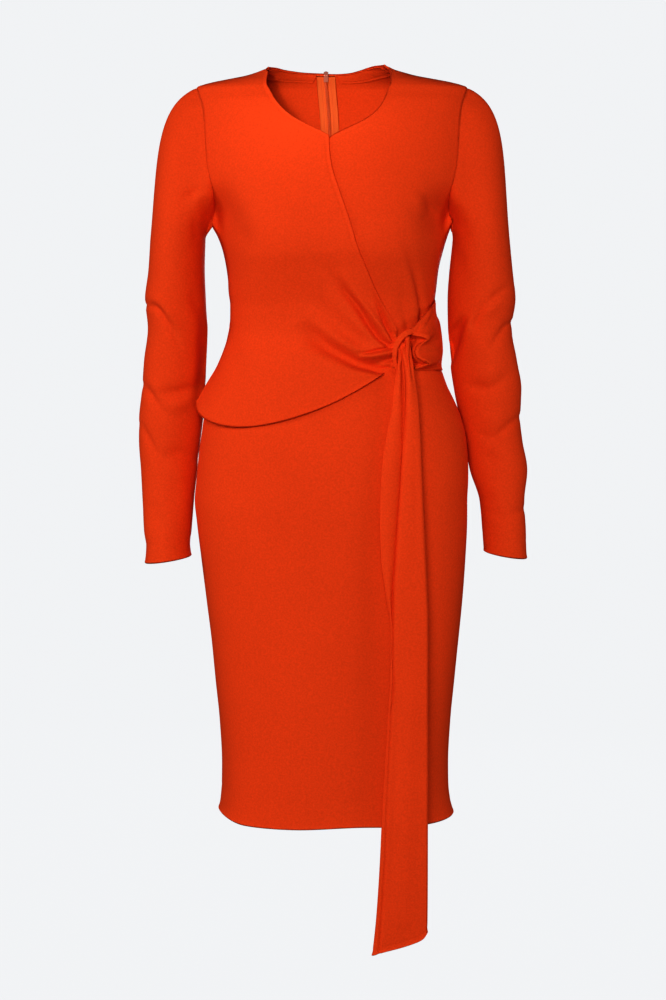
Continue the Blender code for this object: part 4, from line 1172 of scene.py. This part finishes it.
FAR_RADIUS = 42.0  # of the arm, by which a turn becomes a distance round


def seam_levels(turn):
    """Levels round the armhole seam: down its front, and up again behind."""
    levels, last = np.array(ARM_LEVELS, float), len(ARM_LEVELS) - 1
    i = turn / np.pi * last
    i = np.where(i > last, 2 * last - i, i)
    z = np.interp(i, np.arange(last + 1), levels)
    z = np.where(i < 1, levels[0] + (levels[1] - levels[0]) * i**1.6, z)
    return np.where(i > last - 1, levels[-1] + (levels[-2] - levels[-1]) * (last - i) ** 1.6, z)


def arm(z, turn, hand):
    """The arm's ovals at levels z. The cuff's outer end hangs lower."""
    columns = (3, 4, 5, 6) if hand > 0 else (1, 2, 5, 6)
    z = np.asarray(z, float)
    outer, inner, y, deep = (smooth(z, SLEEVE[:, 0], SLEEVE[:, i])[..., None] for i in columns)
    tilt = CUFF_TILT[SIDES[hand]] * ease(z, SLEEVE[-3, 0], SLEEVE[-1, 0])[..., None]
    c, s = np.cos(turn), np.sin(turn)
    x = hand * ((outer + inner) / 2 + (outer - inner) / 2 * c)
    return np.stack(np.broadcast_arrays(x, y - deep * s, z[..., None] - tilt * c), -1)


def sleeve_head(seam, seam_normal, bicep, w, hand, rows):
    """Cubic curves from the armhole seam to the upper arm; w is 1 at the top of the
    shoulder and 0 in the armpit."""
    reach = np.linalg.norm(bicep - seam, axis=1)
    leave = unit(np.stack([hand * (0.2 + 0.8 * w), 0 * w, 0.64 * w - 1.04], -1))
    lean = np.stack([hand * HEAD_SLOPE * w, 0 * w, 0 * w - 1], -1)
    first = seam + leave * (reach * (0.22 + 0.07 * w))[:, None]
    second = bicep - lean * (reach * (0.30 + 0.20 * w))[:, None]
    start = seam - seam_normal * SLIT
    t = np.linspace(0, 1, rows)[:, None, None]
    return start * (1 - t) ** 3 + 3 * first * t * (1 - t) ** 2 + 3 * second * t * t * (1 - t) + bicep * t**3


def sleeve(hand):
    """A sleeve: its head, and below it the arm, a stack of level ovals."""
    side = SIDES[hand]
    head_rows, around = counts(*GRIDS["sleeve_head"])
    turn = np.arange(around) * 2 * np.pi / around
    w = (1 + np.cos(turn)) / 2
    z = seam_levels(turn)
    angle = np.where(turn <= np.pi, outer_angle(z, hand, -1.0), outer_angle(z, hand, 1.0))
    seam_normal = facing_out(angle, z)
    seam = with_armpit(worn(angle, z), angle)
    top_level = SLEEVE[0, 0]
    head = sleeve_head(seam, seam_normal, arm(top_level, turn, hand), w, hand, head_rows)
    arm_rows = counts(ARM_ROWS, 1)[0]
    upper = np.linspace(top_level, CUFF_START, arm_rows - CUFF_ROWS)[1:]
    lower = np.linspace(CUFF_START, CUFF_LEVEL[side], CUFF_ROWS + 1)[1:]
    points = np.concatenate([head, arm(np.concatenate([upper, lower]), turn, hand)])
    normal = turned_like(grid_normals(points, closed=True), points - points.mean(axis=1, keepdims=True))
    top, bottom, _, _ = border_distances(points)
    high = 1.1 * folds(picture(points), SLEEVE_FOLDS[side]) * ease(np.sin(turn), -0.35, 0.1)
    shift, drop = FAR_SHIFT[side]
    far = np.stack(np.broadcast_arrays(turn * FAR_RADIUS + shift, points[..., 2] - drop), -1)
    high += folds(far, FAR_FOLDS) * ease(-np.sin(turn), -0.1, 0.35)
    high += seam_dip(top) * 0.5 + 0.45 * bell(bottom, 2.4) - 0.3 * bell(bottom - CUFF_TURN, 2.0)
    # A little fullness is eased into the head of the sleeve.
    high += 0.22 * np.sin(turn * 13 + 0.7) * ease(w, 0.35, 0.9) * bell(top - 9, 6)
    points = points + normal * high[..., None]
    points[..., 1] += folds(picture(points), SLEEVE_HOLLOWS[side]) * ease(np.sin(turn), -0.1, 0.25)
    thick = CLOTH * (1 + 0.8 * ease(bottom, CUFF_TURN + 2, CUFF_TURN - 1))
    fresh = turned_like(grid_normals(points, closed=True), normal)
    fresh[0] = seam_normal
    return shell("sleeve_" + side, points, closed=True, inner=points - fresh * thick[..., None])


# ---- tab, loop and sash


def waist_tab():
    """The tab: from the side seam round the front, narrowing to a gathered end whose
    rim runs in an S. Past the rim the cloth steps back and on to the sash."""
    rows, cols = counts(*GRIDS["tab"])
    last = len(TAB) - 1
    row = np.linspace(0, last, rows)
    values = (smooth(row, np.arange(last + 1.0), TAB[:, i]) for i in range(6))
    side_z, end_x, end_y, end_z, bulge, bend = values
    u = 1 - (1 - np.linspace(0, 1, cols)) ** 1.3
    angle = angle_of(end_x, end_z, -1)[:, None] * u
    z = side_z[:, None] + (end_z - side_z)[:, None] * u ** bend[:, None]
    # It stands off the dress in the middle of its height, less at its two edges.
    middle = np.sin(np.pi * np.clip(row / last, 0, 1))[:, None] ** 0.6
    rise = ease(u, 0, 0.05)
    by_side = 4.0 * middle * ease(row[:, None], 1.5, 3.5) * rise * (1 - ease(u, 0.12, 0.5))
    out = 0.5 + np.maximum(1.9 * np.maximum(ease(u, 0, 0.3), 0.9 * middle * rise), by_side)
    out = out * (1 - ease(row, last - 3.4, last)[:, None] * (1 - ease(u, 0.8, 1.0)))
    out = out + bulge[:, None] * ease(u, 0, 0.2) * (1 - ease(u, 0.4, 0.9))
    base = stand_off(angle, z, out)
    end = np.stack([end_x, end_y, end_z], -1)
    points = base + (end - base[:, -1])[:, None, :] * ease(u, 0.25, 1.0)[None, :, None]
    top, bottom, _, last_gap = border_distances(points)
    high = folds(picture(points), TAB_FOLDS) + turned_edge(top, 0.5, 0.2, 5.0)
    high += 0.9 * bell(last_gap, 1.8) - 0.25 * bell(bottom, 2.0)
    normal = with_front(grid_normals(points), rows // 2, 4)
    points = points + normal * high[..., None]
    rim = points[:, -1]
    steps = curve(TAB_BACK, counts(1, TAB_STEPS)[1])[1:]
    back = np.repeat(rim[:, None], len(steps), axis=1)
    back[..., 0] += (TAB_SLOT - rim[:, :1]) * steps[:, 0]
    back[..., 1] += steps[:, 1]
    points = np.concatenate([points, back], axis=1)
    fresh = grid_normals(points)
    fresh *= np.sign((fresh[:, :cols] * normal).sum(-1).mean())
    return shell("waist_tab", points, inner=points - fresh * CLOTH)


def closing(ring, outward):
    """Three smaller rings that close the end of a tube, the last one in its middle."""
    centre = ring.mean(0)
    return [centre + (ring - centre) * share + outward * (1 - share) for share in (0.75, 0.4, 0.02)]


def loop_band():
    """The loop: a flat tube of cloth with round edges, a rounded oblong carried along
    its path, with a soft hollow along its middle and small gathers."""
    steps, around = counts(*GRIDS["loop"])
    at = np.arange(len(LOOP), dtype=float)
    t = np.linspace(0, len(LOOP) - 1, steps)
    path = curve(LOOP[:, :3], steps)
    wide, thick = (smooth(t, at, LOOP[:, i])[:, None] / 2 for i in (3, 4))
    along = unit(np.gradient(path, axis=0))
    across = unit(np.cross(along, (-0.15, -1.0, 0.05)))
    front = np.cross(across, along)
    turn = (np.arange(around) + 0.5) * 2 * np.pi / around
    c, s = np.cos(turn), np.sin(turn)
    flat = np.sign(c) * np.abs(c) ** 0.75
    lift = s * (1 - 0.22 * bell(flat, 0.45))
    pucker = 1 + 0.06 * np.sin(t * 9.0 + 0.8)[:, None] * np.abs(s)
    rings = rings_along(path, across, front, wide * flat, thick * lift * pucker)
    rings = np.concatenate([closing(rings[0], -along[0])[::-1], rings, closing(rings[-1], along[-1])])
    run = run_along(rings.mean(1))
    place = np.stack(np.broadcast_arrays(np.linspace(0, 17, around + 1)[None], run[:, None]), -1)
    piece = tube("loop_band_cloth", rings, FINISHES["crepe"], corner_values(place))
    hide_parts("loop_band")
    return piece


def sash_section(row):
    """One section of the sash, from its hidden left end, over two pleats, round behind."""
    _, left, crease, right, y, deep, tuck = row
    gap = np.minimum(tuck, 6.0)
    pairs = [
        (left + 2.0, y + deep - 3.0),
        (left, y + deep * 0.55),
        (left + 1.2, y + 3.0),
        ((left + crease) / 2, y + 1.0),
        (crease - 1.2, y + 1.5 + gap * 0.5),
        (crease, y + 1.0 + gap),
        (crease + 1.8, y + gap * 0.55),
        (crease + 6.0, y - 0.8),
        ((crease + right) / 2, y - 1.6),
        (right - 5.0, y - 0.4),
        (right - 0.9, y + 2.24),
        (right, y + deep * 0.5),
        (right - 1.2, y + deep - 2.0),
        (right - 6.0, y + deep + 0.4),
        ((left + right) / 2 + 4.0, y + deep + 1.0),
        (left + 8.0, y + deep + 2.6),
    ]
    return np.array([np.broadcast_arrays(*p) for p in pairs])


SASH_TOP = -352.0
SASH_KNOT = -440.0  # above it the rows lie closer
SASH_LAST = -1150.0
SASH_FOLDS = [
    (
        [(400.2, 346), (401.8, 358), (402.8, 368), (403.8, 381), (404, 400), (403.5, 440)],
        (1.2, 1.5, 1.8), (-1.6, -3.2, -2.4, -1.6, -0.6),
    ),
    ([(399, 352), (399, 365), (399.2, 380), (398, 410)], (1.4, 1.7), (0.6, 1.8, 1.4, 0)),
    (
        [(402.8, 344), (405, 355), (407.5, 370), (409.5, 390), (411, 430)],
        (1.8, 2.4, 3.4, 4.5), (1.2, 2.6, 2.2, 1.4, 0),
    ),
    ([(406.5, 340), (409.6, 352), (411.5, 366), (413, 385)], (1.6, 1.8), (-1, -2, -1.6, 0)),
    ([(414, 420), (416, 500), (417, 600)], (3, 4), (0, -0.9, 0)),
    ([(398, 640), (396, 720), (394, 800), (390, 900)], (5, 6), (0, -1.2, -1.4, -0.6)),
    ([(412, 620), (410, 720), (407, 830), (404, 920)], (7, 8), (0, 1.2, 1.6, 1)),
]


def sash_tail():
    """The sash: its section, a strip folded over two pleats, carried down by level."""
    rows, cols = counts(*GRIDS["sash"])
    knot_rows, end_rows = rows // 5, 10
    levels = np.concatenate([
        np.linspace(SASH_TOP, SASH_KNOT, knot_rows, endpoint=False),
        np.linspace(SASH_KNOT, SASH_LAST + 10, rows - knot_rows - end_rows, endpoint=False),
        np.linspace(SASH_LAST + 10, SASH_LAST, end_rows),
    ])
    row = [smooth(levels, SASH[:, 0], column) for column in SASH.T]
    section = sash_section(row)
    flat = curve(section.reshape(len(section), -1), cols).reshape(cols, 2, rows)
    x, y = flat[:, 0].T, flat[:, 1].T
    left, right = row[1], row[3]
    share = (x - left[:, None]) / np.maximum(right - left, 1)[:, None]
    slant = smooth(share, SASH_END[:, 0], SASH_END[:, 1])
    z = levels[:, None] + ease(levels, SASH_LAST + 110, SASH_LAST)[:, None] * slant
    points = np.stack([x, y, z], -1)
    normal = with_front(grid_normals(points), rows // 2, cols // 2)
    _, bottom, first_gap, last_gap = border_distances(points)
    high = 1.3 * folds(picture(points), SASH_FOLDS) * ease(-normal[..., 1], 0.1, 0.6)
    high += turned_edge(bottom, 0.7, 0.3, 7.0)
    high += turned_edge(first_gap, 0.3, 0.1, 5.0) + turned_edge(last_gap, 0.3, 0.1, 5.0)
    points = points + normal * high[..., None]
    fresh = turned_like(grid_normals(points), normal)
    return shell("sash_tail", points, inner=points - fresh * CLOTH)


# ---- neck facing and zip


def neck_facing(hand):
    """The band inside the back neck: follows the neck edge, one band deep."""
    rows, cols = counts(*GRIDS["facing"])
    inner_x, inner_z, _ = between(back_table(hand), np.linspace(0.6, BACK_CORNER, cols), hand)
    edge = angle_of(inner_x, inner_z, 1)
    stop = angle_of(centre_line(-5.0) + hand * (ZIP_TAPE + 0.6), -5.0, 1)
    angle = edge[0] + (stop - edge[0]) * ((edge - edge[0]) / (edge[-1] - edge[0]))
    z = np.interp(np.abs(angle - edge[0]), np.abs(edge - edge[0]), inner_z)
    t = np.linspace(0, 1, cols)
    down = np.linspace(0, 1, rows)[:, None]
    levels = z - 0.5 - down * FACING_DEEP * (0.8 + 0.2 * ease(t, 0.0, 0.2))
    angles = np.broadcast_to(angle, levels.shape)
    n = facing_out(angles, levels)
    ripple = 0.10 * np.sin(t * 60) * ease(down, 0.3, 0.8)
    stitched = 0.40 * bell(down - 0.86, 0.05)
    outer = worn(angles, levels) - n * (CLOTH + SLIT)
    inner = outer - n * (TAPE + ripple - stitched)[..., None]
    return shell("neck_facing_" + SIDES[hand], outer, inner=inner)


def stitches(name, path, normal, length=2.2, gap=0.9, thick=0.28):
    """A row of stitches: short rounded bars laid end to end along a path, each one an
    oval ring carried through five stations, thinner at its ends."""
    run = run_along(path)
    begin = np.arange(int(run[-1] // (length + gap))) * (length + gap)
    stations = begin[:, None] + length * np.array([0, 0.12, 0.5, 0.88, 1.0])
    place, face = at_run(stations, run, path), at_run(stations, run, normal)
    side = np.cross(face, np.broadcast_to(unit(place[:, -1:] - place[:, :1]), face.shape))
    c, s = np.cos(HEXAGON), np.sin(HEXAGON)
    size = np.array([0.05, 0.75, 1.0, 0.75, 0.05])[:, None] * thick
    lift = np.array([-0.25, 0.1, 0.3, 0.1, -0.25])[:, None] * thick
    points = rings_along(place, side, face, size * c, size * s + lift)
    first = np.arange(len(begin))[:, None, None] * size.size * c.size
    quads = (grid_quads(round_index(size.size, c.size)) + first).reshape(-1, 4)
    points = points.reshape(-1, 3)
    quads, _ = outside_out(points, quads)
    return mesh_piece(name, points, quads, None, THREAD)


def zip_rows():
    """Levels down the zip, and its middle line."""
    levels = np.array([*np.linspace(-6.5, -18, 8), *np.linspace(-20, ZIP_END, counts(ZIP_ROWS, 1)[0])])
    return levels, centre_line(levels)


def zip_tape(hand):
    """One zip tape: a flat strip inside the back, with a thicker outer edge, and the
    stitches that hold it."""
    side = SIDES[hand]
    levels, middle = zip_rows()
    across = np.linspace(0.15, ZIP_TAPE, counts(1, TAPE_COLUMNS)[1])
    x = middle[:, None] + hand * across
    z = np.broadcast_to(levels[:, None], x.shape)
    angle = angle_of(x, z, 1)
    n = facing_out(angle, z)
    edge = 0.25 * bell(across - ZIP_TAPE + 0.8, 0.6) + 0.3 * bell(across - 4.6, 0.7)
    outer = stand_off(angle, z, back_dents(x, z) - ZIP_DEPTH)
    inner = outer - n * (TAPE + edge)[..., None]
    piece = shell("zip_tape_" + side, outer, inner=inner, finish="zip_cloth")
    x = middle + hand * ZIP_STITCHES
    angle = angle_of(x, levels, 1)
    path = stand_off(angle, levels, back_dents(x, levels) - ZIP_DEPTH - TAPE - 0.1)
    return piece, stitches("zip_stitches_" + side, path, -facing_out(angle, levels))


def zip_coil():
    """The closed coil: a wire wound flat, an oval helix about the zip's line, with a
    turn for each tooth, and its two ends closed."""
    levels, middle = zip_rows()
    angle = angle_of(middle, levels, 1)
    line = stand_off(angle, levels, back_dents(middle, levels) - COIL_DEPTH)
    run = run_along(line)
    turns = int(run[-1] / COIL_PITCH)
    per_turn = 12
    t = np.arange(turns * per_turn + 1) / per_turn
    at = t / turns * run[-1]
    centre, normal = at_run(at, run, line), at_run(at, run, facing_out(angle, levels))
    along = unit(np.gradient(centre, axis=0))
    phase = 2 * np.pi * t
    wire = centre + np.cross(along, normal) * (COIL_WIDE * np.cos(phase))[:, None]
    wire += normal * (COIL_HIGH * np.sin(phase))[:, None] + along * (0.25 * np.sin(2 * phase))[:, None]
    tangent = unit(np.gradient(wire, axis=0))
    one = unit(np.cross(tangent, along))
    radius = np.full((len(wire), 1), COIL_WIRE)
    radius[0] = radius[-1] = 0.02
    c, s = np.cos(HEXAGON), np.sin(HEXAGON)
    rings = rings_along(wire, one, np.cross(tangent, one), radius * c, radius * s)
    piece = tube("zip_coil_teeth", rings, COIL_PLASTIC)
    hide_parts("zip_coil")
    return piece


def rounded_copy(node_name, body, width):
    """A copy of a small metal part with its edges rounded."""
    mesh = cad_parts[node_name].data.copy()
    work = bmesh.new()
    work.from_mesh(mesh)
    bmesh.ops.remove_doubles(work, verts=work.verts, dist=1e-6)
    bmesh.ops.dissolve_limit(work, angle_limit=0.02, verts=work.verts, edges=work.edges)
    work.to_mesh(mesh)
    work.free()
    mesh.materials.clear()
    mesh.materials.append(ZIP_METAL)
    piece = bpy.data.objects.new(node_name + "_metal", mesh)
    bpy.context.scene.collection.objects.link(piece)
    bevel = piece.modifiers.new("round", "BEVEL")
    bevel.width, bevel.segments, bevel.limit_method = width * MM, 3, "ANGLE"
    bevel.angle_limit = 0.6
    mesh.shade_smooth()
    mesh.set_sharp_from_angle(angle=0.9)
    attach(piece, body)
    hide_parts(node_name)
    return piece


def put(name, data, place, target):
    """Puts a lamp or the camera in its place, turned towards a point."""
    thing = bpy.data.objects.new(name, data)
    thing.location = place
    thing.rotation_euler = (Vector(target) - Vector(place)).to_track_quat("-Z", "Y").to_euler()
    bpy.context.scene.collection.objects.link(thing)
    return thing


# Soft lights: place, size and power.
LIGHTS = {
    "front": ((-0.3, -3.15, 0.28), 1.3, 54.0),
    "left_front": ((-2.8, -1.6, 0.9), 1.2, 12.0),
    "left_side": ((-3.2, -0.6, 0.0), 1.3, 18.0),
    "right_side": ((3.0, -1.0, -0.6), 1.4, 15.0),
    "behind": ((0.4, 3.3, -0.3), 1.6, 52.0),
}
# The sweep's section: distance from the middle and level, in metres.
SWEEP = [(0.0, -1.62), (5.0, -1.62), (6.4, -1.5), (7.4, -1.0), (8.0, 0.0), (8.2, 2.0), (8.2, 9.0)]


def floor_sweep():
    """A floor that curves up into a wall all round, seen by the camera alone."""
    line = curve(SWEEP, 60)
    reach = np.maximum(line[:, :1], 0.001)
    turn = np.arange(96) * 2 * np.pi / 96
    middle = np.stack([0 * line[:, 1], 0 * line[:, 1], line[:, 1]], -1)
    points = rings_along(middle, (1, 0, 0), (0, 1, 0), reach * np.cos(turn), reach * np.sin(turn))
    quads = grid_quads(round_index(60, 96))[:, ::-1]
    mesh = bpy.data.meshes.new("floor_sweep")
    mesh.from_pydata(points.reshape(-1, 3).tolist(), [], quads.tolist())
    mesh.shade_smooth()
    material, _, shader = finish_material("pale_floor", (0.004, 0.004, 0.004), 0.9)
    shader.inputs["Emission Color"].default_value = (0.626, 0.633, 0.643, 1)
    shader.inputs["Emission Strength"].default_value = 1.0
    shader.inputs["Specular IOR Level"].default_value = 0.0
    mesh.materials.append(material)
    floor = bpy.data.objects.new("floor_sweep", mesh)
    bpy.context.scene.collection.objects.link(floor)
    floor.visible_diffuse = floor.visible_glossy = floor.visible_shadow = False


def studio():
    """The pale surroundings, soft lights and the camera."""
    floor_sweep()
    world = bpy.context.scene.world or bpy.data.worlds.new("studio")
    bpy.context.scene.world = world
    world.use_nodes = True
    back = world.node_tree.nodes["Background"]
    back.inputs["Color"].default_value = (0.90, 0.92, 0.96, 1)
    back.inputs["Strength"].default_value = 0.07
    for name, (place, size, power) in LIGHTS.items():
        light = bpy.data.lights.new(name, "AREA")
        light.shape, light.size, light.energy = "DISK", size, power
        put(name, light, place, (0.0, 0.0, -0.5))
    light = bpy.data.lights.new("neck_and_chest", "SPOT")
    light.energy, light.spot_size, light.spot_blend, light.shadow_soft_size = 92.0, 0.11, 0.95, 0.1
    put("neck_and_chest", light, (-0.4, -2.4, 0.1), (-0.01, 0.04, -0.03))
    data = bpy.data.cameras.new("camera")
    data.lens, data.sensor_width, data.sensor_fit = LENS, 36.0, "AUTO"
    bpy.context.scene.camera = put("camera", data, EYE * MM, AIM * MM)
    settings = bpy.context.scene.view_settings
    settings.view_transform, settings.look = "Standard", "High Contrast"


def main():
    """Builds every piece and sets up the studio."""
    made = {}
    for hand, side in SIDES.items():
        made["bodice_back_" + side] = bodice_back(hand)
        made["sleeve_" + side] = sleeve(hand)
        made["neck_facing_" + side] = neck_facing(hand)
        made["zip_tape_" + side], made["zip_stitches_" + side] = zip_tape(hand)
    made["bodice_front_left"] = bodice_front_left()
    made["wrap_front_right"] = wrap_front()
    for name, first, last in (
        ("skirt_front", -np.pi, 0.0),
        ("skirt_back_left", np.pi / 2, 0.0),
        ("skirt_back_right", np.pi / 2, np.pi),
    ):
        made[name] = skirt(name, first, last)
    made["waist_tab"] = waist_tab()
    made["loop_band"] = loop_band()
    made["sash_tail"] = sash_tail()
    zip_coil()
    rounded_copy("zip_slider", "dress", 0.45)
    rounded_copy("zip_pull", "zip_pull", 0.4)
    studio()


main()
